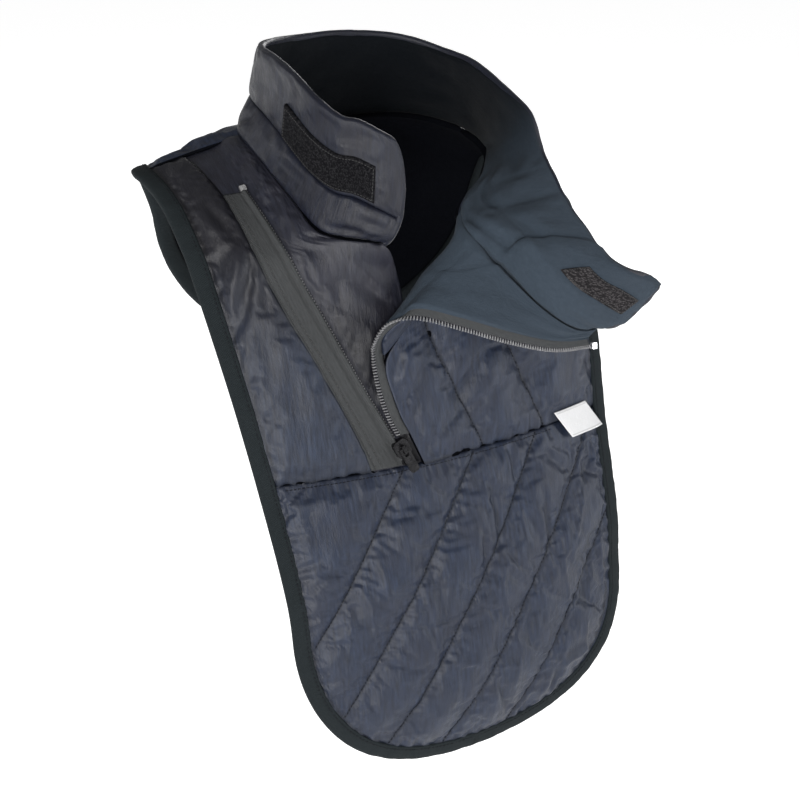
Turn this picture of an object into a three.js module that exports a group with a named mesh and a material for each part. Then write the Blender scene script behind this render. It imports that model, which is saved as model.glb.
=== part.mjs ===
// Turtleneck dickey: a padded bib with a stand collar, zipped open, its wearer's-left front and
// collar folded out as a flap. Millimetres, +Z up, the front towards -Y, the wearer's left at +X,
// and the origin at the middle of the neck, level with the shoulder ridge.
import * as THREE from "three";

// Body sizes
const BIB_HALF_WIDTH = 145;
const CHEST_DEPTH = 139;
const FRONT_DROP = 450;
const FRONT_DRAPE = 490;
const BACK_DRAPE = 232;
const RIGHT_CORNER_DRAPE = 125;
const LEFT_CORNER_DRAPE = 100;
const BACK_CORNER_DRAPE = 142;
const SEAM_DRAPE = 257;

// Neck sizes
const NECK_RADIUS = 92;
const COLLAR_HEIGHT = 76;
const FLAP_LIFT = 38;

// Cloth sizes
const QUILT_THICKNESS = 5;
const STITCHED_THICKNESS = 2;
const QUILT_GROOVE = 2.4;
const QUILT_SPACING = 57;
const QUILT_FADE = 16;
const UNDERLAY_DEPTH = 3.2;
const UNDERLAY_THICKNESS = 2.8;
const SHELL_THICKNESS = 3.1;
const LINING_THICKNESS = 1.3;
const BAND_PUFF = 2.5;
const BINDING_WIDTH = 12;
const BINDING_CLOTH = 1.1;
const GAP = 0.3;
const SEAM_GAP = 0.5;
const NECK_GAP = 1.05;
const BINDING_GAP = 1;
const ROLL_BELLY = 5;
const EDGE_ROLL = 6;
const EDGE_FADE = 24;
const SEAM_FADE = 2;
const QUILT_EDGE = 3;

// Zip sizes
const TAPE_THICKNESS = 0.9;
const COIL_WIDTH = 3.2;
const COIL_HEIGHT = 2.2;
const SLIDER_LENGTH = 13;
const SLIDER_WIDTH = 11;
const SLIDER_PLATE = 1.6;
const PULL_LENGTH = 20;
const PULL_WIDTH = 7;
const STOP_LENGTH = 5;
const STOP_WIDTH = 4.6;
const BOX_LENGTH = 7;
const BOX_WIDTH = 9;

// Patch and label sizes; a section is the cloth from one row of COLLAR to the next at a strip
const PATCH_WIDTH = 25;
const PATCH_LENGTH = 92;
const PATCH_THICKNESS = 1.4;
const HOOK_LENGTH = 58;
const LOOP_SECTION = 25;
const HOOK_SECTION = 30;
const LABEL_WIDTH = 33;
const LABEL_HEIGHT = 21;
const LABEL_THICKNESS = 1;
const LABEL_LEAN = 12;
const LABEL_RISE = 8;
const LABEL_LIFT = -0.5;
const LABEL_CURL = 2;

// Drape form of the body, a row for each line across it, from the back hem over the ridge to the
// front hem. Each row is a parabola across: ahead and sag are shares of CHEST_DEPTH, height and the
// two drops at the sides are shares of FRONT_DROP, drape is a share of FRONT_DRAPE.
const FORM = table(
  ["drape", "ahead", "height", "sag", "dropRight", "dropLeft"],
  [
    [-0.48, -0.7, -0.434, -0.14, 0.018, 0.055],
    [-0.28, -0.75, -0.215, -0.14, 0.027, 0.089],
    [-0.184, -0.73, -0.107, -0.14, 0.031, 0.111],
    [-0.092, -0.63, -0.013, -0.09, 0.036, 0.129],
    [0, -0.32, 0.011, 0, 0.036, 0.133],
    [0.118, 0.16, -0.047, 0.2, 0.018, 0.067],
    [0.212, 0.5, -0.131, 0.32, 0, 0.013],
    [0.261, 0.54, -0.184, 0.27, 0, 0],
    [0.337, 0.6, -0.267, 0.22, 0, 0],
    [0.418, 0.65, -0.356, 0.17, 0, 0],
    [0.527, 0.73, -0.473, 0.15, 0, 0],
    [0.684, 0.9, -0.644, 0.14, 0, 0],
    [0.765, 0.95, -0.733, 0.15, 0, 0],
    [0.878, 1, -0.856, 0.15, 0, 0],
    [1, 0.93, -0.989, 0.05, 0, 0],
  ],
);

// Side outline, half widths as shares of BIB_HALF_WIDTH.
const OUTLINE = table(
  ["drape", "right", "left"],
  [
    [-0.48, 1.02, 0.93],
    [-0.194, 1.02, 0.93],
    [-0.118, 1.09, 0.97],
    [-0.061, 1.16, 0.98],
    [0, 1.19, 0.98],
    [0.118, 1.152, 0.98],
    [0.212, 1.131, 0.993],
    [0.31, 1.097, 1.014],
    [0.427, 1.048, 1.021],
    [0.527, 1.005, 1.012],
    [0.635, 0.972, 1],
    [0.745, 0.952, 1],
    [1, 0.952, 1],
  ],
);

// The tables of the front opening, the collar and the zips give their drape as shares of the
// length that puts their last row at the horizontal seam.
const SEAM_SHARE = 0.5245;
const OPENING_DRAPE = SEAM_DRAPE / SEAM_SHARE;

// Placket line and right zip, across as shares of BIB_HALF_WIDTH.
const PLACKET = table(
  ["drape", "placket", "zip"],
  [
    [0, -0.903, -0.79],
    [0.057, -0.876, -0.785],
    [0.118, -0.84, -0.766],
    [0.157, -0.823, -0.745],
    [0.229, -0.8, -0.69],
    [0.296, -0.738, -0.6],
    [0.355, -0.655, -0.517],
    [0.414, -0.576, -0.428],
    [0.465, -0.51, -0.345],
    [0.5245, -0.441, -0.255],
  ],
);

// Open front edges below the collar: the underlay's free edge and the line where the left panel
// leaves the chest, across as shares of NECK_RADIUS and lift as a share of FLAP_LIFT.
const UNDERLAY_EDGE = table(
  ["drape", "across", "lift"],
  [
    [0, -1.01, 0],
    [0.01, -1.01, 0],
    [0.09, -0.99, 0.03],
    [0.151, -0.93, 0.05],
    [0.188, -0.865, 0.06],
    [0.2, -0.735, 0.08],
    [0.208, -0.57, 0.16],
    [0.214, -0.45, 0.18],
    [0.235, -0.37, 0.12],
    [0.28, -0.32, 0.03],
    [0.4, -0.3, 0],
    [0.46, -0.2, 0],
    [0.5245, -0.16, 0],
  ],
);
const LEFT_EDGE = table(
  ["drape", "across", "lift"],
  [
    [0, 1.01, 0],
    [0.01, 1.01, 0],
    [0.06, 1.01, 0],
    [0.09, 0.95, 0],
    [0.12, 0.8, 0.01],
    [0.146, 0.64, 0.03],
    [0.171, 0.38, 0.06],
    [0.19, 0.26, 0.08],
    [0.209, 0.25, 0.09],
    [0.222, 0.21, 0.09],
    [0.25, 0.08, 0.08],
    [0.29, -0.13, 0.07],
    [0.325, -0.33, 0.06],
    [0.359, -0.5, 0.05],
    [0.382, -0.54, 0.05],
    [0.42, -0.5, 0.045],
    [0.453, -0.45, 0.04],
    [0.484, -0.38, 0.03],
    [0.5245, -0.3, 0.02],
  ],
);

// Collar and folded collar, a row for each section from the wearer's right front, round the back,
// to the tip of the flap. The base lies on the drape form: across is a share of NECK_RADIUS, drape
// of OPENING_DRAPE and lift of FLAP_LIFT. The band seam and the rim are steps from the base to the
// left, to the front and up, as shares of COLLAR_HEIGHT.
const COLLAR = table(
  ["across", "drape", "lift", "seamX", "seamFront", "seamUp", "rimX", "rimFront", "rimUp"],
  [
    [-0.45, 0.214, 0.18, 0.08, 0.14, 0.24, 0.13, 0.14, 0.89],
    [-0.57, 0.208, 0.16, 0.08, 0.14, 0.3, 0.09, 0.15, 0.98],
    [-0.72, 0.2, 0.11, 0.09, 0.11, 0.37, 0.1, 0.15, 1.06],
    [-0.85, 0.188, 0.08, 0.11, 0.06, 0.35, 0.13, 0.18, 1.04],
    [-0.93, 0.151, 0.05, 0.11, 0.06, 0.31, 0.11, 0.22, 1],
    [-0.99, 0.09, 0.03, 0.15, 0.08, 0.27, 0.16, 0.21, 0.92],
    [-1.01, 0.01, 0, 0.17, 0.06, 0.27, 0.2, 0.2, 0.81],
    [-0.91, -0.029, 0, 0.11, 0.03, 0.29, 0.18, 0.14, 0.77],
    [-0.67, -0.067, 0, 0.05, 0.04, 0.33, 0.11, 0.13, 0.78],
    [-0.35, -0.096, 0, 0.01, 0.05, 0.37, 0.04, 0.1, 0.82],
    [0, -0.104, 0, 0, 0.03, 0.36, 0, 0.06, 0.84],
    [0.35, -0.096, 0, -0.01, 0.04, 0.34, -0.05, 0.09, 0.82],
    [0.67, -0.067, 0, -0.03, 0.05, 0.33, -0.1, 0.1, 0.78],
    [0.91, -0.029, 0, -0.04, 0.07, 0.33, -0.12, 0.12, 0.74],
    [1.01, 0.01, 0, -0.04, 0.11, 0.34, -0.08, 0.18, 0.72],
    [1.01, 0.06, 0, -0.02, 0.17, 0.28, 0.03, 0.24, 0.6],
    [0.95, 0.09, 0.03, -0.01, 0.29, 0.19, 0.17, 0.4, 0.44],
    [0.64, 0.146, 0.08, 0.28, 0.03, 0.09, 0.58, 0.12, 0.21],
    [0.38, 0.171, 0.08, 0.36, -0.01, 0.05, 0.9, 0.02, 0.19],
    [0.26, 0.19, 0.16, 0.37, -0.02, 0.04, 1.04, -0.02, 0.17],
    [0.19, 0.209, 0.26, 0.42, -0.02, 0.05, 1.12, -0.04, 0.12],
    [0.19, 0.221, 0.38, 0.42, 0.02, 0.08, 1.13, -0.01, 0.06],
    [0.28, 0.238, 0.5, 0.37, 0.07, 0.12, 1.12, 0.05, 0],
    [0.43, 0.282, 0.68, 0.17, 0.09, 0.29, 1.03, 0.11, 0.04],
    [0.62, 0.331, 0.89, 0.12, 0.08, 0.25, 0.99, 0.03, 0.19],
    [0.87, 0.369, 1, 0.15, 0.06, 0.21, 0.95, -0.09, 0.31],
    [1.1, 0.38, 1, 0.31, 0.03, -0.02, 0.81, -0.08, 0.25],
  ],
);

// Left zip from its lower end up to the fold and along the flap, a row for each section. The coil
// and the cloth edge beside it lie on the drape form; the rows from the fold on face the rows of
// COLLAR from FLAP_FROM on, which end the same sections of the flap at the neck seam.
const LEFT_ZIP = table(
  ["coilX", "coilDrape", "coilLift", "edgeX", "edgeDrape", "edgeLift"],
  [
    [-0.4, 0.5245, 0.01, -0.32, 0.5245, 0.01],
    [-0.47, 0.484, 0.02, -0.395, 0.484, 0.02],
    [-0.54, 0.453, 0.02, -0.465, 0.453, 0.02],
    [-0.59, 0.42, 0.03, -0.515, 0.42, 0.03],
    [-0.62, 0.382, 0.05, -0.55, 0.382, 0.03],
    [-0.63, 0.358, 0.13, -0.55, 0.358, 0],
    [-0.63, 0.34, 0.26, -0.56, 0.335, 0.2],
    [-0.54, 0.315, 0.45, -0.47, 0.314, 0.43],
    [-0.36, 0.309, 0.66, -0.34, 0.298, 0.64],
    [-0.08, 0.329, 0.82, -0.07, 0.316, 0.82],
    [0.3, 0.361, 0.9, 0.31, 0.348, 0.9],
    [0.68, 0.39, 0.95, 0.68, 0.377, 0.95],
    [1.04, 0.405, 0.96, 1.0, 0.392, 0.96],
  ],
);

// Quilting, a row for each cloth panel: the first line's place at the horizontal seam as a share of
// BIB_HALF_WIDTH, its lean across per drape, and how many lines there are.
const QUILTING = {
  bib: { first: -0.283, lean: -0.72, lines: 5 },
  chest: { first: 0.17, lean: 0.42, lines: 2 },
};

// Tables and curves

function table(columns, rows) {
  return rows.map((row) => Object.fromEntries(columns.map((name, i) => [name, row[i]])));
}

// Value of a column at a key, as a smooth curve through the rows.
function along(rows, key, column, at) {
  let i = 0;
  while (i < rows.length - 2 && rows[i + 1][key] < at) i += 1;
  const slope = (j) => {
    const a = rows[Math.max(j - 1, 0)];
    const b = rows[Math.min(j + 1, rows.length - 1)];
    return (b[column] - a[column]) / (b[key] - a[key]);
  };
  const [a, b] = [rows[i], rows[i + 1]];
  const span = b[key] - a[key];
  const t = (at - a[key]) / span;
  const [t2, t3] = [t * t, t * t * t];
  return (2 * t3 - 3 * t2 + 1) * a[column] + (t3 - 2 * t2 + t) * span * slope(i)
    + (3 * t2 - 2 * t3) * b[column] + (t3 - t2) * span * slope(i + 1);
}

function smooth(t) {
  const s = Math.min(Math.max(t, 0), 1);
  return s * s * (3 - 2 * s);
}

function mix(a, b, t) {
  return a + (b - a) * t;
}

// Drape form

function formPoint(x, drape) {
  const at = drape / FRONT_DRAPE;
  const across = (x / BIB_HALF_WIDTH) ** 2;
  const drop = along(FORM, "drape", x < 0 ? "dropRight" : "dropLeft", at);
  const ahead = along(FORM, "drape", "ahead", at) - across * along(FORM, "drape", "sag", at);
  const height = along(FORM, "drape", "height", at) - across * drop;
  return new THREE.Vector3(x, -ahead * CHEST_DEPTH, height * FRONT_DROP);
}

function formNormal(x, drape) {
  const down = formPoint(x, drape + 0.5).sub(formPoint(x, drape - 0.5));
  const side = formPoint(x + 0.5, drape).sub(formPoint(x - 0.5, drape));
  return down.cross(side).normalize();
}

function lifted(x, drape, lift) {
  return formPoint(x, drape).addScaledVector(formNormal(x, drape), lift);
}

// Direction of the cut where the body panels meet the collar, between both cloths' normals.
function neckMitre(point, normal) {
  const out = new THREE.Vector3(point.x, point.y, 0).normalize();
  return out.add(normal).normalize();
}

function halfWidth(drape, side) {
  return along(OUTLINE, "drape", side, drape / FRONT_DRAPE) * BIB_HALF_WIDTH;
}

const FRONT_CORNERS = {
  right: { start: FRONT_DRAPE - RIGHT_CORNER_DRAPE, depth: RIGHT_CORNER_DRAPE, power: 2.2 },
  left: { start: FRONT_DRAPE - LEFT_CORNER_DRAPE, depth: LEFT_CORNER_DRAPE, power: 2.15 },
};
const BACK_CORNERS = {
  right: { start: BACK_DRAPE - BACK_CORNER_DRAPE, depth: BACK_CORNER_DRAPE, power: 1.8 },
  left: { start: BACK_DRAPE - BACK_CORNER_DRAPE, depth: BACK_CORNER_DRAPE, power: 1.8 },
};

function sideOf(u) {
  return u < 0 ? "right" : "left";
}

// Drape of the rounded hem at a share u of the half width, from -1 at the right to 1 at the left.
function hemDrape(corners, u, inset) {
  const corner = corners[sideOf(u)];
  const rise = (1 - Math.abs(u) ** corner.power) ** (1 / corner.power);
  return corner.start + (corner.depth - inset) * rise;
}

// Distance from a point of the cloth in to the outer edge.
function edgeDistance(corners, x, drape) {
  const side = sideOf(x);
  const half = halfWidth(corners === BACK_CORNERS ? -drape : drape, side);
  const corner = corners[side];
  const past = (drape - corner.start) / corner.depth;
  if (past <= 0) return half - Math.abs(x);
  const reach = (Math.abs(x) / half) ** corner.power + past ** corner.power;
  return (1 - reach ** (1 / corner.power)) * Math.min(half, corner.depth);
}

// Cloth solids

// Closed solid between two grids of points, rows by columns, outer side first.
function slab(outer, inner) {
  const [rows, cols] = [outer.length, outer[0].length];
  const positions = [];
  for (const grid of [outer, inner]) {
    for (const row of grid) {
      for (const p of row) positions.push(p.x, p.y, p.z);
    }
  }
  const top = (i, j) => i * cols + j;
  const under = (i, j) => rows * cols + i * cols + j;
  const faces = [];
  const quad = (a, b, c, d) => faces.push(a, b, c, a, c, d);
  for (let i = 0; i < rows - 1; i += 1) {
    for (let j = 0; j < cols - 1; j += 1) {
      quad(top(i, j), top(i + 1, j), top(i + 1, j + 1), top(i, j + 1));
      quad(under(i, j), under(i, j + 1), under(i + 1, j + 1), under(i + 1, j));
    }
    quad(top(i, 0), under(i, 0), under(i + 1, 0), top(i + 1, 0));
    quad(top(i, cols - 1), top(i + 1, cols - 1), under(i + 1, cols - 1), under(i, cols - 1));
  }
  for (let j = 0; j < cols - 1; j += 1) {
    quad(top(0, j), top(0, j + 1), under(0, j + 1), under(0, j));
    quad(top(rows - 1, j), under(rows - 1, j), under(rows - 1, j + 1), top(rows - 1, j + 1));
  }
  return closed(positions, faces);
}

// Closed solid swept along a list of sections, each the same loop of points.
function sweep(sections, ring) {
  const count = sections[0].length;
  const positions = sections.flat().flatMap((p) => [p.x, p.y, p.z]);
  const faces = [];
  const steps = ring ? sections.length : sections.length - 1;
  for (let i = 0; i < steps; i += 1) {
    const next = (i + 1) % sections.length;
    for (let j = 0; j < count; j += 1) {
      const k = (j + 1) % count;
      faces.push(i * count + j, next * count + j, next * count + k);
      faces.push(i * count + j, next * count + k, i * count + k);
    }
  }
  if (!ring) {
    const last = (sections.length - 1) * count;
    for (let j = 1; j < count - 1; j += 1) {
      faces.push(0, j, j + 1);
      faces.push(last, last + j + 1, last + j);
    }
  }
  return closed(positions, faces);
}

// Geometry with its faces turned outwards.
function closed(positions, faces) {
  const p = (i) => new THREE.Vector3().fromArray(positions, faces[i] * 3);
  let volume = 0;
  for (let i = 0; i < faces.length; i += 3) volume += p(i).dot(p(i + 1).cross(p(i + 2)));
  if (volume < 0) faces.reverse();
  const geometry = new THREE.BufferGeometry();
  geometry.setAttribute("position", new THREE.Float32BufferAttribute(positions, 3));
  geometry.setIndex(faces);
  geometry.computeVertexNormals();
  return geometry;
}

function gridOf(rows, cols, make) {
  const line = (i) => Array.from({ length: cols + 1 }, (_, j) => make(i / rows, j / cols));
  return Array.from({ length: rows + 1 }, (_, i) => line(i));
}

// Panel on the drape form: place gives across, drape, outer and inner level, and a mitre share.
function panel(rows, cols, place) {
  const side = (level) => gridOf(rows, cols, (v, u) => {
    const at = place(v, u);
    const normal = formNormal(at.x, at.drape);
    const point = formPoint(at.x, at.drape);
    const cut = normal.clone().lerp(neckMitre(point, normal), at.mitre ?? 0).normalize();
    return point.addScaledVector(cut, at[level] / cut.dot(normal));
  });
  return slab(side("outer"), side("inner"));
}

// Levels of quilted cloth at a distance from the nearest stitched edge.
function quiltLevels(distance, groove) {
  const full = smooth((distance - BINDING_WIDTH - QUILT_EDGE) / QUILT_FADE);
  const thick = mix(STITCHED_THICKNESS, QUILT_THICKNESS - groove, full);
  const inner = mix(-STITCHED_THICKNESS * 2, -QUILT_THICKNESS, full);
  return { outer: inner + thick, inner };
}

// Depth of the quilting groove at a place, from the distance to the nearest diagonal line.
function quiltGroove(rows, x, drape) {
  const start = rows.first * BIB_HALF_WIDTH + rows.lean * (drape - SEAM_DRAPE);
  const line = Math.min(Math.max(Math.round((x - start) / QUILT_SPACING), 0), rows.lines - 1);
  const away = Math.abs(x - start - line * QUILT_SPACING) / Math.hypot(1, rows.lean);
  return QUILT_GROOVE * (1 - smooth(away / QUILT_FADE));
}

// Body panels

const CHEST_ROWS = 17;
const BACK_ROWS = 11;
const PANEL_INSET = BINDING_CLOTH + BINDING_GAP;

function bibLower() {
  return panel(14, 22, (v, t) => {
    const u = Math.sin((t - 0.5) * Math.PI);
    const top = SEAM_DRAPE + SEAM_GAP;
    const drape = mix(top, hemDrape(FRONT_CORNERS, u, PANEL_INSET), v);
    const x = u * (halfWidth(drape, sideOf(u)) - PANEL_INSET);
    const distance = Math.min(edgeDistance(FRONT_CORNERS, x, drape), drape - top + BINDING_WIDTH - SEAM_FADE);
    return { x, drape, ...quiltLevels(distance, quiltGroove(QUILTING.bib, x, drape)) };
  });
}

function placketX(drape) {
  return along(PLACKET, "drape", "placket", drape / OPENING_DRAPE) * BIB_HALF_WIDTH;
}

function rightZipX(drape) {
  return along(PLACKET, "drape", "zip", drape / OPENING_DRAPE) * BIB_HALF_WIDTH;
}

function chestRight() {
  return panel(CHEST_ROWS, 8, (v, u) => {
    const drape = mix(SEAM_GAP, SEAM_DRAPE - SEAM_GAP, v);
    const left = -halfWidth(drape, "right") + PANEL_INSET;
    const x = mix(left, placketX(drape) - SEAM_GAP, u);
    const distance = Math.min(x - left, SEAM_DRAPE - drape + BINDING_WIDTH - SEAM_FADE, drape + BINDING_WIDTH);
    return { x, drape, ...quiltLevels(distance, 0) };
  });
}

function neckUnderlay() {
  return panel(CHEST_ROWS, 4, (v, u) => {
    const drape = mix(SEAM_GAP, SEAM_DRAPE - SEAM_GAP, v);
    const at = drape / OPENING_DRAPE;
    const right = along(UNDERLAY_EDGE, "drape", "across", at) * NECK_RADIUS - NECK_GAP;
    const lift = Math.max(along(UNDERLAY_EDGE, "drape", "lift", at), 0) * FLAP_LIFT;
    const neck = 1 - smooth((at - 0.2) / 0.05);
    const rise = neck * smooth((u - 0.4) / 0.6);
    const outer = mix(-UNDERLAY_DEPTH, lift, rise);
    const inner = outer - UNDERLAY_THICKNESS;
    const mitre = u === 1 && at < 0.21 ? 1 : 0;
    return { x: mix(placketX(drape) + SEAM_GAP, right, u), drape, outer, inner, mitre };
  });
}

function leftEdge(drape) {
  const at = drape / OPENING_DRAPE;
  return {
    x: along(LEFT_EDGE, "drape", "across", at) * NECK_RADIUS,
    lift: along(LEFT_EDGE, "drape", "lift", at) * FLAP_LIFT,
  };
}

function chestLeft() {
  return panel(CHEST_ROWS, 13, (v, u) => {
    const drape = mix(SEAM_GAP, SEAM_DRAPE - SEAM_GAP, v);
    const edge = leftEdge(drape);
    const right = halfWidth(drape, "left") - PANEL_INSET;
    const x = mix(edge.x + NECK_GAP, right, u);
    const distance = Math.min(right - x, SEAM_DRAPE - drape + BINDING_WIDTH - SEAM_FADE, drape + BINDING_WIDTH);
    const levels = quiltLevels(distance, quiltGroove(QUILTING.chest, x, drape));
    const at = drape / OPENING_DRAPE;
    const open = smooth((at - 0.19) / 0.03);
    const near = open * (1 - smooth((x - edge.x - EDGE_ROLL) / EDGE_FADE));
    const over = open * (1 - smooth((x - edge.x - EDGE_FADE) / EDGE_FADE));
    const outer = mix(levels.outer, edge.lift + QUILT_GROOVE * 0.3, near);
    const raised = Math.max(edge.lift - 3 * GAP, 0);
    const inner = mix(levels.inner, -UNDERLAY_DEPTH + 3 * GAP + raised, over);
    const mitre = u === 0 ? 1 - smooth((at - 0.07) / 0.05) : 0;
    return { x, drape, outer, inner, mitre };
  });
}

// Drape of the back neck line at a place across.
function backNeckDrape(x) {
  const rows = COLLAR.slice(6, 15);
  const at = x / NECK_RADIUS;
  if (Math.abs(at) >= 1.01) return -SEAM_GAP;
  return Math.min(along(rows, "across", "drape", at) * OPENING_DRAPE - NECK_GAP, -SEAM_GAP);
}

function backFlap() {
  return panel(BACK_ROWS, 20, (v, t) => {
    const u = Math.sin((t - 0.5) * Math.PI);
    const side = sideOf(u);
    const topX = u * (halfWidth(0, side) - PANEL_INSET);
    const top = -backNeckDrape(topX);
    const drape = mix(top, hemDrape(BACK_CORNERS, u, PANEL_INSET), v);
    const stretch = mix(halfWidth(0, side) / halfWidth(-top, side), 1, v);
    const x = u * (halfWidth(-drape, side) - PANEL_INSET) * stretch;
    const distance = Math.min(edgeDistance(BACK_CORNERS, x, drape), drape + BINDING_WIDTH);
    const mitre = v === 0 && Math.abs(topX) < NECK_RADIUS ? 1 : 0;
    return { x, drape: -drape, ...quiltLevels(distance, 0), mitre };
  });
}

// Binding: a folded strip round the whole outline, as places across and along the drape.
function outlinePlaces() {
  const places = [];
  const arc = (corners, sign, side, way, steps) => {
    for (let i = 0; i < steps; i += 1) {
      const turn = ((way > 0 ? i : steps - i) / steps) * Math.PI * 0.5;
      const power = 2 / corners[side].power;
      const drape = corners[side].start + corners[side].depth * Math.cos(turn) ** power;
      const across = Math.sin(turn) ** power * halfWidth(sign * drape, side);
      places.push([side === "right" ? -across : across, sign * drape]);
    }
  };
  const edge = (side, from, to, steps) => {
    for (let i = 0; i < steps; i += 1) {
      const drape = mix(from, to, i / steps);
      places.push([(side === "right" ? -1 : 1) * halfWidth(drape, side), drape]);
    }
  };
  arc(FRONT_CORNERS, 1, "right", 1, 9);
  edge("right", FRONT_CORNERS.right.start, SEAM_DRAPE, 6);
  edge("right", SEAM_DRAPE, 0, CHEST_ROWS);
  edge("right", 0, -BACK_CORNERS.right.start, BACK_ROWS);
  arc(BACK_CORNERS, -1, "right", -1, 9);
  arc(BACK_CORNERS, -1, "left", 1, 9);
  edge("left", -BACK_CORNERS.left.start, 0, BACK_ROWS);
  edge("left", 0, SEAM_DRAPE, CHEST_ROWS);
  edge("left", SEAM_DRAPE, FRONT_CORNERS.left.start, 8);
  arc(FRONT_CORNERS, 1, "left", -1, 9);
  return places;
}

function edgeBinding() {
  const middle = -STITCHED_THICKNESS * 1.5;
  const leg = STITCHED_THICKNESS * 0.5 + BINDING_GAP;
  const fold = leg + BINDING_CLOTH;
  const section = [
    [-BINDING_WIDTH, fold],
    [-0.6, fold],
    [0, 0],
    [-0.6, -fold],
    [-BINDING_WIDTH, -fold],
    [-BINDING_WIDTH, -leg],
    [-BINDING_CLOTH, -leg],
    [-BINDING_CLOTH, leg],
    [-BINDING_WIDTH, leg],
  ];
  const places = outlinePlaces();
  const sections = places.map(([x, drape], i) => {
    const before = places[(i + places.length - 1) % places.length];
    const after = places[(i + 1) % places.length];
    const out = new THREE.Vector2(after[1] - before[1], before[0] - after[0]).normalize();
    if (out.dot(new THREE.Vector2(x, drape)) < 0) out.negate();
    return section.map(([away, level]) => (
      lifted(x + out.x * away, drape + out.y * away, middle + level)
    ));
  });
  return sweep(sections, true);
}

// Collar

const COLLAR_ROWS = COLLAR.map((row, i) => ({ ...row, at: i }));
const LEFT_ZIP_ROWS = LEFT_ZIP.map((row, i) => ({ ...row, at: i }));

// Place of the collar's base on the drape form.
function collarPlace(at) {
  return {
    x: along(COLLAR_ROWS, "at", "across", at) * NECK_RADIUS,
    drape: along(COLLAR_ROWS, "at", "drape", at) * OPENING_DRAPE,
    lift: along(COLLAR_ROWS, "at", "lift", at) * FLAP_LIFT,
  };
}

function collarPoint(at, column) {
  const place = collarPlace(at);
  const base = lifted(place.x, place.drape, place.lift);
  if (column === "base") return base;
  return base.add(new THREE.Vector3(
    along(COLLAR_ROWS, "at", `${column}X`, at),
    -along(COLLAR_ROWS, "at", `${column}Front`, at),
    along(COLLAR_ROWS, "at", `${column}Up`, at),
  ).multiplyScalar(COLLAR_HEIGHT));
}

const LAST = COLLAR.length - 1;

// Middle surface of the collar cloth at a place round it and a share of each band's height, from
// 0 at the base to 1 at the band seam and 2 at the rim.
function collarSurface(at, height) {
  const [low, seam, rim] = ["base", "seam", "rim"].map((column) => collarPoint(at, column));
  const bend = seam.clone().multiplyScalar(2).sub(low).sub(rim).multiplyScalar(0.08);
  const t = height % 1;
  const bow = bend.multiplyScalar(Math.sin(Math.PI * (height === 2 ? 0 : t)));
  if (height < 1) return low.lerp(seam, t).add(bow);
  return seam.lerp(rim, height - 1).add(bow);
}

function surfaceNormal(surface, s, t, step, limits) {
  const [s0, s1] = [Math.max(s - step, 0), Math.min(s + step, limits[0])];
  const [t0, t1] = [Math.max(t - step, 0), Math.min(t + step, limits[1])];
  const alongStep = surface(s1, t).sub(surface(s0, t));
  const upStep = surface(s, t1).sub(surface(s, t0));
  return alongStep.cross(upStep).normalize();
}

function collarNormal(at, height) {
  return surfaceNormal(collarSurface, at, height, 0.3, [LAST, 2]).negate();
}

const FLAP_FROM = 19;
const ROLL_FROM = 15;

// Cut at the base of the collar: towards the body panels, or towards the flap below it.
function baseCut(at) {
  if (at >= FLAP_FROM) return collarNormal(at, 0).add(flapNormal(at - FLAP_FROM, 1)).normalize();
  const place = collarPlace(at);
  const mitre = neckMitre(formPoint(place.x, place.drape), formNormal(place.x, place.drape));
  return mitre.lerp(collarNormal(at, 0), smooth((at - ROLL_FROM) / 2)).normalize();
}

// Offset across the cloth; at the base the cut leans to meet the body panels.
function collarAt(at, height, level) {
  const point = collarSurface(at, height);
  const normal = collarNormal(at, height);
  if (height > 0) return point.addScaledVector(normal, level);
  const cut = baseCut(at);
  return point.addScaledVector(cut, level / Math.max(cut.dot(normal), 0.6));
}

function collarStrip(cols, rows, from, to, levels, reach) {
  const side = (name) => gridOf(rows, cols, (v, u) => {
    const height = mix(from, to, v);
    const [start, end] = reach(height);
    const at = mix(start, end, u);
    return collarAt(at, height, levels(v, u)[name]);
  });
  return slab(side("outer"), side("inner"));
}

const BAND_HALF_GAP = 0.012;
const COLLAR_COLUMNS = 44;

function puffed(v) {
  const thick = mix(STITCHED_THICKNESS, SHELL_THICKNESS + BAND_PUFF * 0.4, Math.sin(Math.PI * v));
  return { outer: GAP + thick, inner: GAP };
}

// Rounded front end of the upper band, as a share of a section cut away at each height.
function noseReach(height) {
  const up = Math.max(height - 1, 0);
  return [0.5 * up ** 4, LAST - 0.35 * (1 - Math.min(height, 1)) ** 2];
}

function collarLowerBand() {
  return collarStrip(COLLAR_COLUMNS, 2, 0, 1 - BAND_HALF_GAP, puffed, noseReach);
}

function collarUpperBand() {
  return collarStrip(COLLAR_COLUMNS, 3, 1 + BAND_HALF_GAP, 2, puffed, noseReach);
}

// Lining in two stretches that follow the rows of the bands outside it.
function collarLining() {
  const heights = [0, 0.5, 1, 4 / 3, 5 / 3, 2];
  const side = (level) => heights.map((height) => {
    const [start, end] = noseReach(height);
    return Array.from({ length: COLLAR_COLUMNS + 1 }, (_, j) => (
      collarAt(mix(start, end, j / COLLAR_COLUMNS), height, level)
    ));
  });
  return slab(side(-GAP), side(-GAP - LINING_THICKNESS));
}

// Flap below the neck seam, rolled over from the left chest panel

function leftZipPlace(at, column) {
  return {
    x: along(LEFT_ZIP_ROWS, "at", `${column}X`, at) * NECK_RADIUS,
    drape: along(LEFT_ZIP_ROWS, "at", `${column}Drape`, at) * OPENING_DRAPE,
    lift: along(LEFT_ZIP_ROWS, "at", `${column}Lift`, at) * FLAP_LIFT,
  };
}

function leftZipRow(at, column) {
  const place = leftZipPlace(at, column);
  return lifted(place.x, place.drape, place.lift);
}

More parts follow.
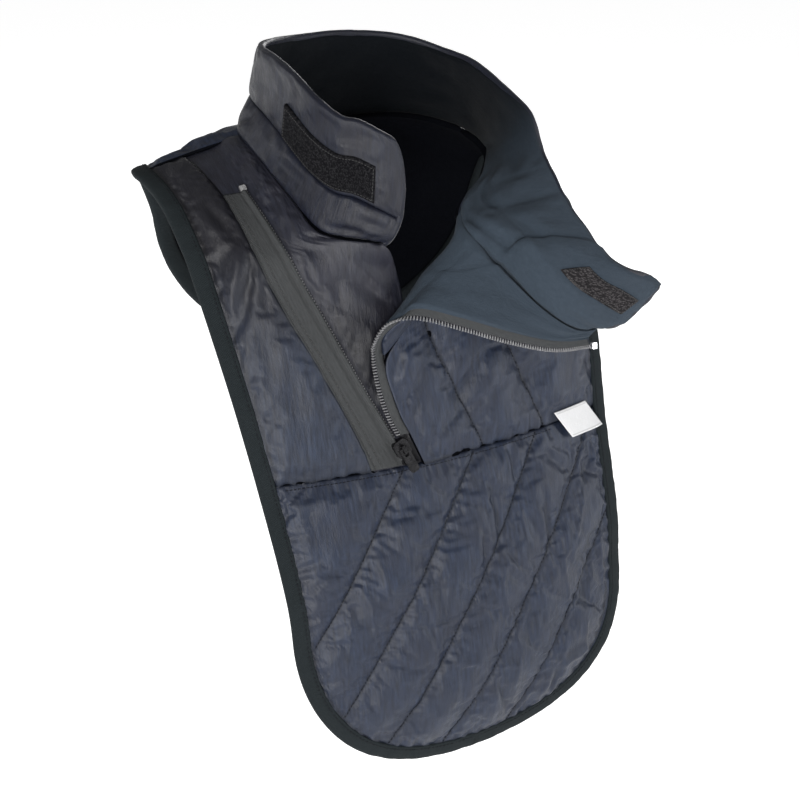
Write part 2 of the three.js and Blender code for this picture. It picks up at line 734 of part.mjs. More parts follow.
const FOLD_ROW = 5;
const LAST_ZIP = LEFT_ZIP.length - 1;
const FLAP_SPAN = LAST_ZIP - FOLD_ROW;
const FLAP_START = 0.1;
const FLAP_END = FLAP_SPAN - 0.15;
const FLAP_TOP = 0.97;

// Middle surface of the flap: s runs from the chest over the roll to the end, t from zip to neck.
// At the start it follows the edge of the left chest panel.
function flapSurface(s, t) {
  const zip = leftZipPlace(FOLD_ROW + s, "edge");
  const neck = collarPlace(FLAP_FROM + s);
  const [x, drape, lift] = ["x", "drape", "lift"].map((name) => mix(zip[name], neck[name], t));
  const start = mix(leftZipPlace(FOLD_ROW, "edge").drape, collarPlace(FLAP_FROM).drape, t);
  const first = mix(leftZipPlace(FOLD_ROW, "edge").x, collarPlace(FLAP_FROM).x, t);
  const edge = leftEdge(start);
  const low = edge.lift + QUILT_GROOVE * 0.3 - SHELL_THICKNESS - GAP;
  const firstLift = mix(leftZipPlace(FOLD_ROW, "edge").lift, collarPlace(FLAP_FROM).lift, t);
  const inside = Math.sin(Math.PI * Math.min(t, 1));
  const hold = (1 - smooth(s)) * inside ** 0.5;
  const belly = ROLL_BELLY * inside * Math.sin(Math.PI * Math.min(s, 2) * 0.5);
  return lifted(x + (edge.x - first) * hold - belly, drape, lift + (low - firstLift) * hold);
}

// Normal on the shell side, which lies below once the flap is folded out.
function flapNormal(s, t) {
  return surfaceNormal(flapSurface, s, t, 0.15, [FLAP_SPAN, 1]).negate();
}

function flapSheet(outerLevel, innerLevel) {
  const side = (level) => gridOf(6, 18, (v, u) => {
    const [s, t] = [mix(FLAP_START, FLAP_END, u), mix(0, FLAP_TOP, v)];
    const normal = flapNormal(s, t);
    if (v < 1) return flapSurface(s, t).addScaledVector(normal, level);
    const cut = collarNormal(FLAP_FROM + s, 0).add(normal).normalize();
    return flapSurface(s, t).addScaledVector(cut, level / Math.max(cut.dot(normal), 0.6));
  });
  return slab(side(outerLevel), side(innerLevel));
}

function flapShell() {
  return flapSheet(GAP + SHELL_THICKNESS, GAP);
}

function flapLining() {
  return flapSheet(-GAP, -GAP - LINING_THICKNESS);
}

// Zips

// Flat strip between two edge curves, with its thickness either side of its middle.
function tapeStrip(steps, edgeA, edgeB, thickness) {
  const frame = (u) => {
    const [a, b] = [edgeA(u), edgeB(u)];
    const ahead = edgeA(Math.min(u + 0.01, 1)).sub(edgeA(Math.max(u - 0.01, 0)));
    const normal = ahead.cross(b.clone().sub(a)).normalize();
    return { a, b, normal };
  };
  const side = (level) => gridOf(steps, 1, (u, v) => {
    const { a, b, normal } = frame(u);
    return (v === 0 ? a : b).clone().addScaledVector(normal, level);
  });
  return slab(side(thickness / 2), side(-thickness / 2));
}

// Six-sided coil along a curve, with its flat across the tape's edge.
function coilAlong(steps, centre, across) {
  const sections = Array.from({ length: steps + 1 }, (_, i) => {
    const u = i / steps;
    const here = centre(u);
    const side = across(u);
    const ahead = centre(Math.min(u + 0.01, 1)).sub(centre(Math.max(u - 0.01, 0))).normalize();
    const up = ahead.clone().cross(side).normalize();
    return Array.from({ length: 6 }, (_, k) => {
      const turn = (k / 6) * Math.PI * 2;
      return here.clone()
        .addScaledVector(side, Math.cos(turn) * COIL_WIDTH * 0.5)
        .addScaledVector(up, Math.sin(turn) * COIL_HEIGHT * 0.5);
    });
  });
  return sweep(sections, false);
}

const ZIP_TOP_DRAPE = OPENING_DRAPE * 0.118;
const TAPE_END_DRAPE = SEAM_DRAPE - 2 * SEAM_GAP;
const COIL_END_DRAPE = SEAM_DRAPE - BOX_LENGTH - SLIDER_LENGTH - GAP;
const TAPE_LEVEL = -UNDERLAY_DEPTH + GAP + TAPE_THICKNESS / 2;
const COIL_LEVEL = -UNDERLAY_DEPTH + GAP + COIL_HEIGHT / 2;

function rightCoilCentre(u) {
  const drape = mix(ZIP_TOP_DRAPE, COIL_END_DRAPE, u);
  return lifted(rightZipX(drape) - COIL_WIDTH / 2, drape, COIL_LEVEL);
}

function acrossRightZip(u) {
  const drape = mix(ZIP_TOP_DRAPE, COIL_END_DRAPE, u);
  const [a, b] = [placketX(drape), rightZipX(drape)];
  return lifted(b, drape, TAPE_LEVEL).sub(lifted(a, drape, TAPE_LEVEL)).normalize();
}

function zipTapeRight() {
  const drape = (u) => mix(ZIP_TOP_DRAPE, TAPE_END_DRAPE, u);
  const placket = (u) => lifted(placketX(drape(u)) + SEAM_GAP, drape(u), TAPE_LEVEL);
  const coil = (u) => lifted(rightZipX(drape(u)) - COIL_WIDTH - 2 * GAP, drape(u), TAPE_LEVEL);
  return tapeStrip(20, placket, coil, TAPE_THICKNESS);
}

function zipCoilRight() {
  return coilAlong(18, rightCoilCentre, acrossRightZip);
}

function leftZipAt(u, column) {
  return leftZipRow(u * LAST_ZIP, column);
}

function acrossLeftZip(u) {
  return leftZipAt(u, "coil").sub(leftZipAt(u, "edge")).normalize();
}

const LEFT_ZIP_FROM = 0.1;

function leftZipShare(u) {
  return mix(LEFT_ZIP_FROM, 1, u);
}

function zipTapeLeft() {
  const coil = (u) => leftZipAt(leftZipShare(u), "coil")
    .addScaledVector(acrossLeftZip(leftZipShare(u)), -COIL_WIDTH / 2 - GAP);
  const cloth = (u) => leftZipAt(leftZipShare(u), "edge")
    .addScaledVector(acrossLeftZip(leftZipShare(u)), NECK_GAP);
  return tapeStrip(32, cloth, coil, TAPE_THICKNESS);
}

function zipCoilLeft() {
  const centre = (u) => leftZipAt(leftZipShare(u), "coil");
  return coilAlong(28, centre, (u) => acrossLeftZip(leftZipShare(u)));
}

// Hard fittings, each in a frame of its own: x across the zip, y down along it, z off the cloth

const SLIDER_HEIGHT = 4.4;
const SLIDER_DRAPE = SEAM_DRAPE - BOX_LENGTH - SLIDER_LENGTH / 2;
const PULL_THICKNESS = 1.6;
const PULL_BAR = 2;
const BRIDGE_WIDTH = 2.4;
const BRIDGE_WALL = 1.4;
const BRIDGE_SPAN = PULL_BAR + 2 * BRIDGE_WALL + 4 * GAP;
const STOP_HEIGHT = 2.4;
const SMALL_CORNER = 1;
const FITTING_LEVEL = TAPE_LEVEL + TAPE_THICKNESS / 2 + GAP;

function roundedShape(width, length, corner) {
  const [w, h] = [width / 2, length / 2];
  const shape = new THREE.Shape();
  shape.moveTo(w, -h + corner);
  shape.absarc(w - corner, h - corner, corner, 0, Math.PI / 2);
  shape.absarc(-w + corner, h - corner, corner, Math.PI / 2, Math.PI);
  shape.absarc(-w + corner, -h + corner, corner, Math.PI, Math.PI * 1.5);
  shape.absarc(w - corner, -h + corner, corner, Math.PI * 1.5, Math.PI * 2);
  return shape;
}

function plate(shape, height) {
  return new THREE.ExtrudeGeometry(shape, { depth: height, bevelEnabled: false, curveSegments: 3 });
}

function pullShape() {
  const shape = roundedShape(PULL_WIDTH, PULL_LENGTH, PULL_WIDTH * 0.3);
  const eye = roundedShape(BRIDGE_WIDTH + 4 * GAP, PULL_LENGTH * 0.25, GAP * 2);
  const top = -PULL_LENGTH / 2 + PULL_BAR;
  const points = eye.getPoints(2).map((p) => p.add(new THREE.Vector2(0, top + PULL_LENGTH * 0.125)));
  shape.holes.push(new THREE.Path(points.reverse()));
  return shape;
}

// Arch over the pull's top bar, one foot inside the pull's eye.
function bridgeGeometry() {
  const high = PULL_THICKNESS + 2 * GAP;
  const shape = new THREE.Shape([
    new THREE.Vector2(0, 0),
    new THREE.Vector2(0, high + BRIDGE_WALL),
    new THREE.Vector2(BRIDGE_SPAN, high + BRIDGE_WALL),
    new THREE.Vector2(BRIDGE_SPAN, 0),
    new THREE.Vector2(BRIDGE_SPAN - BRIDGE_WALL, 0),
    new THREE.Vector2(BRIDGE_SPAN - BRIDGE_WALL, high),
    new THREE.Vector2(BRIDGE_WALL, high),
    new THREE.Vector2(BRIDGE_WALL, 0),
  ]);
  const geometry = plate(shape, BRIDGE_WIDTH);
  const turn = new THREE.Matrix4().makeBasis(
    new THREE.Vector3(0, 1, 0),
    new THREE.Vector3(0, 0, 1),
    new THREE.Vector3(1, 0, 0),
  );
  return geometry.applyMatrix4(turn).translate(-BRIDGE_WIDTH / 2, -BRIDGE_SPAN / 2, 0);
}

// Group whose frame sits at a point, y along the zip and z off the cloth.
function seat(point, down, normal, meshes) {
  const group = new THREE.Group();
  const across = down.clone().cross(normal).normalize();
  const y = normal.clone().cross(across).normalize();
  group.quaternion.setFromRotationMatrix(new THREE.Matrix4().makeBasis(across, y, normal));
  group.position.copy(point);
  group.add(...meshes);
  return group;
}

// Slider at the foot of the zip, with the bridge and the pull on it.
function sliderGroup() {
  const at = (drape) => lifted(rightZipX(drape), drape, FITTING_LEVEL);
  const down = at(SLIDER_DRAPE + SLIDER_LENGTH / 2).sub(at(SLIDER_DRAPE - SLIDER_LENGTH / 2));
  const normal = formNormal(rightZipX(SLIDER_DRAPE), SLIDER_DRAPE);
  const slider = piece(
    "zip_slider",
    plate(roundedShape(SLIDER_WIDTH, SLIDER_LENGTH, SLIDER_WIDTH * 0.3), SLIDER_HEIGHT),
    METAL,
  );
  const bridge = piece("zip_bridge", bridgeGeometry(), METAL);
  bridge.position.z = SLIDER_HEIGHT + GAP / 2;
  const pull = piece("zip_pull", plate(pullShape(), PULL_THICKNESS), METAL);
  pull.position.y = PULL_LENGTH / 2 - PULL_BAR / 2;
  pull.position.z = SLIDER_HEIGHT + GAP;
  return seat(at(SLIDER_DRAPE), down, normal, [slider, bridge, pull]);
}

function boxGroup() {
  const drape = SEAM_DRAPE - BOX_LENGTH / 2 - GAP;
  const x = rightZipX(drape);
  const shape = roundedShape(BOX_WIDTH, BOX_LENGTH - 5 * GAP, SMALL_CORNER);
  const foot = lifted(x, drape + BOX_LENGTH / 2, FITTING_LEVEL);
  const down = foot.sub(lifted(x, drape - BOX_LENGTH / 2, FITTING_LEVEL));
  const box = piece("zip_box", plate(shape, STOP_HEIGHT), METAL);
  return seat(lifted(x, drape, FITTING_LEVEL), down, formNormal(x, drape), [box]);
}

function stopShape() {
  return roundedShape(STOP_WIDTH, STOP_LENGTH, SMALL_CORNER);
}

// Top stops, clenched on past the end of each coil.
function rightStopGroup() {
  const drape = ZIP_TOP_DRAPE - STOP_LENGTH / 2 - GAP;
  const x = rightZipX(drape) - COIL_WIDTH / 2;
  const point = lifted(x, drape, TAPE_LEVEL - TAPE_THICKNESS / 2);
  const down = formPoint(x, drape + STOP_LENGTH / 2).sub(formPoint(x, drape - STOP_LENGTH / 2));
  const stop = piece("zip_stop_right", plate(stopShape(), STOP_HEIGHT), STEEL);
  return seat(point, down, formNormal(x, drape), [stop]);
}

function leftStopGroup() {
  const end = leftZipAt(1, "coil");
  const down = end.clone().sub(leftZipAt(0.98, "coil")).normalize();
  const normal = acrossLeftZip(1).cross(down).normalize();
  const point = end.addScaledVector(down, STOP_LENGTH / 2 + 3 * GAP)
    .addScaledVector(normal, -STOP_HEIGHT / 2);
  const stop = piece("zip_stop_left", plate(stopShape(), STOP_HEIGHT), STEEL);
  return seat(point, down, normal, [stop]);
}

// Patches and label

// Strips sewn on the upper band: where each starts, as a section of COLLAR and a share of the
// band's height, and the share of COLLAR_HEIGHT that the band has there.
const LOOP_PLACE = { from: 1.3, low: 1.07, bandShare: 0.65 };
const HOOK_PLACE = { to: LAST - 0.4, low: 1.12, bandShare: 0.8 };

function collarPatch(from, to, place, near, far) {
  const high = place.low + PATCH_WIDTH / (COLLAR_HEIGHT * place.bandShare);
  const side = (level) => gridOf(3, 12, (v, u) => {
    const height = mix(place.low, high, v);
    return collarAt(mix(from, to, u), height, level(height));
  });
  return slab(side(far), side(near));
}

function loopPatch() {
  const ground = (height) => puffed(height - 1).outer + 2 * GAP;
  const end = LOOP_PLACE.from + PATCH_LENGTH / LOOP_SECTION;
  return collarPatch(
    LOOP_PLACE.from,
    end,
    LOOP_PLACE,
    ground,
    (height) => ground(height) + PATCH_THICKNESS,
  );
}

function hookPatch() {
  const ground = -2 * GAP - LINING_THICKNESS;
  const start = HOOK_PLACE.to - HOOK_LENGTH / HOOK_SECTION;
  return collarPatch(start, HOOK_PLACE.to, HOOK_PLACE, () => ground, () => ground - PATCH_THICKNESS);
}

// Label caught in the horizontal seam at the wearer's left, hanging loose over the bib.
function labelTag() {
  const right = halfWidth(SEAM_DRAPE, "left") - BINDING_WIDTH - LABEL_LEAN;
  const side = (level) => gridOf(2, 4, (v, u) => {
    const x = right - LABEL_WIDTH * (1 - u) + LABEL_LEAN * v;
    const drape = SEAM_DRAPE - LABEL_RISE + LABEL_HEIGHT * v;
    const curl = LABEL_CURL * v * (1 + Math.sin(Math.PI * u) / 2);
    return lifted(x, drape, LABEL_LIFT + curl + level);
  });
  return slab(side(LABEL_THICKNESS), side(0));
}

// Materials: colour, roughness and metalness
const SHELL = [0x3f424b, 0.5, 0];
const WARM_SHELL = [0x3c3a40, 0.5, 0];
const LINING = [0x3a444e, 0.95, 0];
const BINDING = [0x232a2d, 0.85, 0];
const TAPE = [0x48484a, 0.85, 0];
const COIL = [0x2a2a2c, 0.4, 0];
const METAL = [0x1c1c1e, 0.35, 0.6];
const STEEL = [0xd8d8d8, 0.3, 0.8];
const LOOP = [0x18181a, 1, 0];
const HOOK = [0x4f4c4e, 0.8, 0];
const LABEL = [0xf2f2f0, 0.6, 0];

function piece(name, geometry, [color, roughness, metalness]) {
  const material = new THREE.MeshStandardMaterial({ color, roughness, metalness });
  const mesh = new THREE.Mesh(geometry, material);
  mesh.name = name;
  return mesh;
}

const body = new THREE.Group();
body.add(
  piece("bib_lower", bibLower(), SHELL),
  piece("chest_right", chestRight(), WARM_SHELL),
  piece("chest_left", chestLeft(), SHELL),
  piece("neck_underlay", neckUnderlay(), WARM_SHELL),
  piece("back_flap", backFlap(), SHELL),
  piece("edge_binding", edgeBinding(), BINDING),
);

const collar = new THREE.Group();
collar.add(
  piece("collar_lower_band", collarLowerBand(), WARM_SHELL),
  piece("collar_upper_band", collarUpperBand(), WARM_SHELL),
  piece("collar_lining", collarLining(), LINING),
  piece("flap_shell", flapShell(), SHELL),
  piece("flap_lining", flapLining(), LINING),
  piece("loop_patch", loopPatch(), LOOP),
  piece("hook_patch", hookPatch(), HOOK),
);

const zip = new THREE.Group();
zip.add(
  piece("zip_tape_right", zipTapeRight(), TAPE),
  piece("zip_coil_right", zipCoilRight(), COIL),
  piece("zip_tape_left", zipTapeLeft(), TAPE),
  piece("zip_coil_left", zipCoilLeft(), COIL),
  sliderGroup(),
  boxGroup(),
  rightStopGroup(),
  leftStopGroup(),
);

const dickey = new THREE.Group();
dickey.add(body, collar, zip, piece("seam_label", labelTag(), LABEL));

export default dickey;
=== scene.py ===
"""Looks of the turtleneck dickey: quilted nylon, fleece, binding, zip and strips, built on the same
drape form as the solids. Sizes below are millimetres and shares of them; meshes are in metres."""

import math

import bpy
import numpy as np
from mathutils import Matrix


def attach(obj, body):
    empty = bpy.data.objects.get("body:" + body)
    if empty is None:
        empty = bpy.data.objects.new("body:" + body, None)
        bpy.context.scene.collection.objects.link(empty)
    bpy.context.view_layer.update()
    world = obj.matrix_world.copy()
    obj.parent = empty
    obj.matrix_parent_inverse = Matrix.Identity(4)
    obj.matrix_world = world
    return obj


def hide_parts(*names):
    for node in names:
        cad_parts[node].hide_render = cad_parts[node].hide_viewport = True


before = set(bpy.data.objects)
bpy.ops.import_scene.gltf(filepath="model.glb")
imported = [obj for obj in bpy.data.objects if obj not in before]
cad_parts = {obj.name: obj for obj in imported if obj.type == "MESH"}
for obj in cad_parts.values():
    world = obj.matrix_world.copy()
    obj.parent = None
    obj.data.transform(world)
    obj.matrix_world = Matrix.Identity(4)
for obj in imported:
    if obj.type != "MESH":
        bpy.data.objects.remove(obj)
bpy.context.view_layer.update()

# Sizes of the body, neck, cloth and zip, in mm
BIB_HALF_WIDTH = 145
CHEST_DEPTH = 139
FRONT_DROP = 450
FRONT_DRAPE = 490
SEAM_DRAPE = 257
NECK_RADIUS = 92
COLLAR_HEIGHT = 76
FLAP_LIFT = 38
QUILT_THICKNESS = 5
STITCHED = 2
QUILT_GROOVE = 2.4
THINNEST = 1.3
SEAM_LAP = 1.2
QUILT_SPACING = 57
UNDERLAY_DEPTH = 3.2
UNDERLAY_THICKNESS = 2.8
SHELL_THICKNESS = 3.1
LINING_THICKNESS = 1.3
BAND_PUFF = 2.5
BINDING_WIDTH = 12
GAP = 0.3
ROLL_BELLY = 5
COIL_WIDTH = 3.2
COIL_HEIGHT = 2.2
TAPE_THICKNESS = 0.9
TAPE_LEVEL = -UNDERLAY_DEPTH + GAP + TAPE_THICKNESS / 2
BOX_LENGTH = 7
SLIDER_LENGTH = 13
STRIP_WIDTH = 25
LOOP_LENGTH = 92
HOOK_LENGTH = 58
LABEL = {"width": 33, "height": 21, "lean": 12, "rise": 8, "lift": -0.5, "curl": 3.2}
# Corners of the hem: where each starts along the drape, how deep it is and how round
FRONT_CORNERS = {"right": (365, 125, 2.2), "left": (390, 100, 2.15)}
BACK_CORNERS = {"right": (90, 142, 1.8), "left": (90, 142, 1.8)}


# Tables of the drape form, as shares of the sizes above
def table(columns, rows):
    return {name: np.array(values, float) for name, values in zip(columns, zip(*rows))}


FORM = table(
    ["drape", "ahead", "height", "sag", "dropRight", "dropLeft"],
    [
        [-0.48, -0.7, -0.434, -0.14, 0.018, 0.055],
        [-0.28, -0.75, -0.215, -0.14, 0.027, 0.089],
        [-0.184, -0.73, -0.107, -0.14, 0.031, 0.111],
        [-0.092, -0.63, -0.013, -0.09, 0.036, 0.129],
        [0, -0.32, 0.011, 0, 0.036, 0.133],
        [0.118, 0.16, -0.047, 0.2, 0.018, 0.067],
        [0.212, 0.5, -0.131, 0.32, 0, 0.013],
        [0.261, 0.54, -0.184, 0.27, 0, 0],
        [0.337, 0.6, -0.267, 0.22, 0, 0],
        [0.418, 0.65, -0.356, 0.17, 0, 0],
        [0.527, 0.73, -0.473, 0.15, 0, 0],
        [0.684, 0.9, -0.644, 0.14, 0, 0],
        [0.765, 0.95, -0.733, 0.15, 0, 0],
        [0.878, 1, -0.856, 0.15, 0, 0],
        [1, 0.93, -0.989, 0.05, 0, 0],
    ],
)
OUTLINE = table(
    ["drape", "right", "left"],
    [
        [-0.48, 1.02, 0.93],
        [-0.194, 1.02, 0.93],
        [-0.118, 1.09, 0.97],
        [-0.061, 1.16, 0.98],
        [0, 1.19, 0.98],
        [0.118, 1.152, 0.98],
        [0.212, 1.131, 0.993],
        [0.31, 1.097, 1.014],
        [0.427, 1.048, 1.021],
        [0.527, 1.005, 1.012],
        [0.635, 0.972, 1],
        [0.745, 0.952, 1],
        [1, 0.952, 1],
    ],
)
PLACKET = table(
    ["drape", "placket", "zip"],
    [
        [0, -0.94, -0.79],
        [0.057, -0.91, -0.785],
        [0.118, -0.876, -0.766],
        [0.157, -0.862, -0.745],
        [0.229, -0.832, -0.69],
        [0.296, -0.757, -0.6],
        [0.355, -0.667, -0.517],
        [0.414, -0.584, -0.428],
        [0.465, -0.514, -0.345],
        [0.5245, -0.441, -0.255],
    ],
)
UNDERLAY_EDGE = table(
    ["drape", "across", "lift"],
    [
        [0, -1.01, 0],
        [0.01, -1.01, 0],
        [0.09, -0.99, 0.03],
        [0.151, -0.93, 0.05],
        [0.188, -0.865, 0.06],
        [0.2, -0.735, 0.08],
        [0.208, -0.57, 0.16],
        [0.214, -0.45, 0.18],
        [0.235, -0.37, 0.12],
        [0.28, -0.32, 0.03],
        [0.4, -0.3, 0],
        [0.46, -0.2, 0],
        [0.5245, -0.16, 0],
    ],
)
LEFT_EDGE = table(
    ["drape", "across", "lift"],
    [
        [0, 1.01, 0],
        [0.01, 1.01, 0],
        [0.06, 1.01, 0],
        [0.09, 0.95, 0],
        [0.12, 0.8, 0.01],
        [0.146, 0.64, 0.03],
        [0.171, 0.38, 0.06],
        [0.19, 0.26, 0.08],
        [0.209, 0.25, 0.09],
        [0.222, 0.21, 0.09],
        [0.25, 0.08, 0.08],
        [0.29, -0.13, 0.07],
        [0.325, -0.33, 0.06],
        [0.359, -0.5, 0.05],
        [0.382, -0.54, 0.05],
        [0.42, -0.5, 0.045],
        [0.453, -0.45, 0.04],
        [0.484, -0.38, 0.03],
        [0.5245, -0.3, 0.02],
    ],
)
COLLAR = table(
    ["across", "drape", "lift", "seamX", "seamFront", "seamUp", "rimX", "rimFront", "rimUp"],
    [
        [-0.45, 0.214, 0.18, 0.08, 0.14, 0.24, 0.13, 0.14, 0.89],
        [-0.57, 0.208, 0.16, 0.08, 0.14, 0.3, 0.09, 0.15, 0.98],
        [-0.72, 0.2, 0.11, 0.09, 0.11, 0.37, 0.1, 0.15, 1.06],
        [-0.85, 0.188, 0.08, 0.11, 0.06, 0.35, 0.13, 0.18, 1.04],
        [-0.93, 0.151, 0.05, 0.11, 0.06, 0.31, 0.11, 0.22, 1],
        [-0.99, 0.09, 0.03, 0.15, 0.08, 0.27, 0.16, 0.21, 0.92],
        [-1.01, 0.01, 0, 0.17, 0.06, 0.27, 0.2, 0.2, 0.81],
        [-0.91, -0.029, 0, 0.11, 0.03, 0.29, 0.18, 0.14, 0.77],
        [-0.67, -0.067, 0, 0.05, 0.04, 0.33, 0.11, 0.13, 0.78],
        [-0.35, -0.096, 0, 0.01, 0.05, 0.37, 0.04, 0.1, 0.82],
        [0, -0.104, 0, 0, 0.03, 0.36, 0, 0.06, 0.84],
        [0.35, -0.096, 0, -0.01, 0.04, 0.34, -0.05, 0.09, 0.82],
        [0.67, -0.067, 0, -0.03, 0.05, 0.33, -0.1, 0.1, 0.78],
        [0.91, -0.029, 0, -0.04, 0.07, 0.33, -0.12, 0.12, 0.74],
        [1.01, 0.01, 0, -0.04, 0.11, 0.34, -0.08, 0.18, 0.72],
        [1.01, 0.06, 0, -0.02, 0.17, 0.28, 0.03, 0.24, 0.6],
        [0.95, 0.09, 0.03, -0.01, 0.29, 0.19, 0.17, 0.4, 0.44],
        [0.64, 0.146, 0.08, 0.28, 0.03, 0.09, 0.58, 0.12, 0.21],
        [0.38, 0.171, 0.08, 0.36, -0.01, 0.05, 0.9, 0.02, 0.19],
        [0.26, 0.19, 0.16, 0.37, -0.02, 0.04, 1.04, -0.02, 0.17],
        [0.19, 0.209, 0.26, 0.42, -0.02, 0.05, 1.12, -0.04, 0.12],
        [0.19, 0.221, 0.38, 0.42, 0.02, 0.08, 1.13, -0.01, 0.06],
        [0.28, 0.238, 0.5, 0.37, 0.07, 0.12, 1.12, 0.05, 0],
        [0.43, 0.282, 0.68, 0.17, 0.09, 0.29, 1.03, 0.11, 0.04],
        [0.62, 0.331, 0.89, 0.12, 0.08, 0.25, 0.99, 0.03, 0.19],
        [0.87, 0.369, 1, 0.15, 0.06, 0.21, 0.95, -0.09, 0.31],
        [1.1, 0.38, 1, 0.31, 0.03, -0.02, 0.81, -0.08, 0.25],
    ],
)
LEFT_ZIP = table(
    ["coilX", "coilDrape", "coilLift", "edgeX", "edgeDrape", "edgeLift"],
    [
        [-0.4, 0.5245, 0.01, -0.32, 0.5245, 0.01],
        [-0.47, 0.484, 0.02, -0.395, 0.484, 0.02],
        [-0.54, 0.453, 0.02, -0.465, 0.453, 0.02],
        [-0.59, 0.42, 0.03, -0.515, 0.42, 0.03],
        [-0.62, 0.382, 0.05, -0.55, 0.382, 0.03],
        [-0.63, 0.358, 0.13, -0.55, 0.358, 0],
        [-0.63, 0.34, 0.26, -0.56, 0.335, 0.2],
        [-0.54, 0.315, 0.45, -0.47, 0.314, 0.43],
        [-0.36, 0.309, 0.66, -0.34, 0.298, 0.64],
        [-0.08, 0.329, 0.82, -0.07, 0.316, 0.82],
        [0.3, 0.361, 0.9, 0.31, 0.348, 0.9],
        [0.68, 0.39, 0.95, 0.68, 0.377, 0.95],
        [1.04, 0.405, 0.96, 1.0, 0.392, 0.96],
    ],
)
COLLAR["at"] = np.arange(len(COLLAR["across"]), dtype=float)
LEFT_ZIP["at"] = np.arange(len(LEFT_ZIP["coilX"]), dtype=float)
LAST = len(COLLAR["at"]) - 1
LAST_ZIP = len(LEFT_ZIP["at"]) - 1
BACK_NECK = {name: values[6:15] for name, values in COLLAR.items()}
FLAP_FROM, ROLL_FROM, FOLD_ROW = 19, 15, 5
FLAP_SPAN = LAST_ZIP - FOLD_ROW
BIB_QUILTING = {"first": -0.283, "lean": -0.72, "lines": 5}
CHEST_QUILTING = {"first": 0.17, "lean": 0.42, "lines": 2}


def along(rows, key, column, at):
    """Value of a column at a key, as a smooth curve through the rows."""
    keys, values = rows[key], rows[column]
    at = np.asarray(at, float)
    i = np.searchsorted(keys[1:-1], at, side="left")
    slopes = np.empty(len(keys))
    slopes[1:-1] = (values[2:] - values[:-2]) / (keys[2:] - keys[:-2])
    slopes[0] = (values[1] - values[0]) / (keys[1] - keys[0])
    slopes[-1] = (values[-1] - values[-2]) / (keys[-1] - keys[-2])
    span = keys[i + 1] - keys[i]
    t = (at - keys[i]) / span
    t2, t3 = t * t, t * t * t
    return (
        (2 * t3 - 3 * t2 + 1) * values[i]
        + (t3 - 2 * t2 + t) * span * slopes[i]
        + (3 * t2 - 2 * t3) * values[i + 1]
        + (t3 - t2) * span * slopes[i + 1]
    )


def smooth(t):
    s = np.clip(t, 0, 1)
    return s * s * (3 - 2 * s)


def mix(a, b, t):
    return a + (b - a) * t


def near(distance, start, reach):
    """1 up to a distance, falling to 0 over the reach past it."""
    return 1 - smooth((distance - start) / reach)


def most(value, *others):
    for other in others:
        value = np.maximum(value, other)
    return value


def least(value, *others):
    for other in others:
        value = np.minimum(value, other)
    return value


def flat(a, b):
    """Cloth coordinates from two grids, in mm."""
    return np.stack([a, b, np.zeros_like(a)], -1)


def run_of(line):
    """Distance along a line of points, at each of them."""
    return np.concatenate([[0], np.cumsum(np.linalg.norm(np.diff(line, axis=0), axis=1))])


def at_marks(marks, run, values):
    return np.stack([np.interp(marks, run, column) for column in values.T], -1)


def all_round(count):
    """Angles of that many points round a circle."""
    return np.arange(count) / count * 2 * np.pi


def unit(v):
    return v / np.maximum(np.linalg.norm(v, axis=-1, keepdims=True), 1e-9)


def grid(rows, cols):
    return np.meshgrid(np.linspace(0, 1, rows + 1), np.linspace(0, 1, cols + 1), indexing="ij")


def noise(x, y, seed):
    """Smooth value noise between -1 and 1."""
    xi, yi = np.floor(x).astype(np.int64), np.floor(y).astype(np.int64)
    fx, fy = x - xi, y - yi
    fx = fx * fx * fx * (fx * (fx * 6 - 15) + 10)
    fy = fy * fy * fy * (fy * (fy * 6 - 15) + 10)

    def corner(i, j):
        n = (i * 374761393 + j * 668265263 + seed * 974634777) & 0xFFFFFFFF
        n = ((n ^ (n >> 13)) * 1274126177) & 0xFFFFFFFF
        return ((n ^ (n >> 16)) & 0xFFFF) / 32767.5 - 1

    low = mix(corner(xi, yi), corner(xi + 1, yi), fx)
    high = mix(corner(xi, yi + 1), corner(xi + 1, yi + 1), fx)
    return mix(low, high, fy)


# Drape form


def form_point(x, drape):
    x, drape = np.broadcast_arrays(np.asarray(x, float), np.asarray(drape, float))
    at = drape / FRONT_DRAPE
    across = (x / BIB_HALF_WIDTH) ** 2
    right, left = along(FORM, "drape", "dropRight", at), along(FORM, "drape", "dropLeft", at)
    drop = np.where(x < 0, right, left)
    ahead = along(FORM, "drape", "ahead", at) - across * along(FORM, "drape", "sag", at)
    height = along(FORM, "drape", "height", at) - across * drop
    return np.stack([x, -ahead * CHEST_DEPTH, height * FRONT_DROP], -1)


def form_normal(x, drape):
    down = form_point(x, drape + 0.5) - form_point(x, drape - 0.5)
    side = form_point(x + 0.5, drape) - form_point(x - 0.5, drape)
    return unit(np.cross(down, side))


def lifted(x, drape, lift):
    x, drape, lift = np.broadcast_arrays(x, drape, lift)
    return form_point(x, drape) + form_normal(x, drape) * lift[..., None]


def neck_mitre(point, normal):
    out = unit(point * np.array([1, 1, 0]))
    return unit(out + normal)


def half_width(drape, x):
    at = np.asarray(drape) / FRONT_DRAPE
    right, left = along(OUTLINE, "drape", "right", at), along(OUTLINE, "drape", "left", at)
    return np.where(np.asarray(x) < 0, right, left) * BIB_HALF_WIDTH


def corner_of(corners, x):
    right, left = corners["right"], corners["left"]
    return [np.where(np.asarray(x) < 0, a, b) for a, b in zip(right, left)]


def hem_drape(corners, u, inset):
    start, depth, power = corner_of(corners, u)
    return start + (depth - inset) * (1 - np.abs(u) ** power) ** (1 / power)


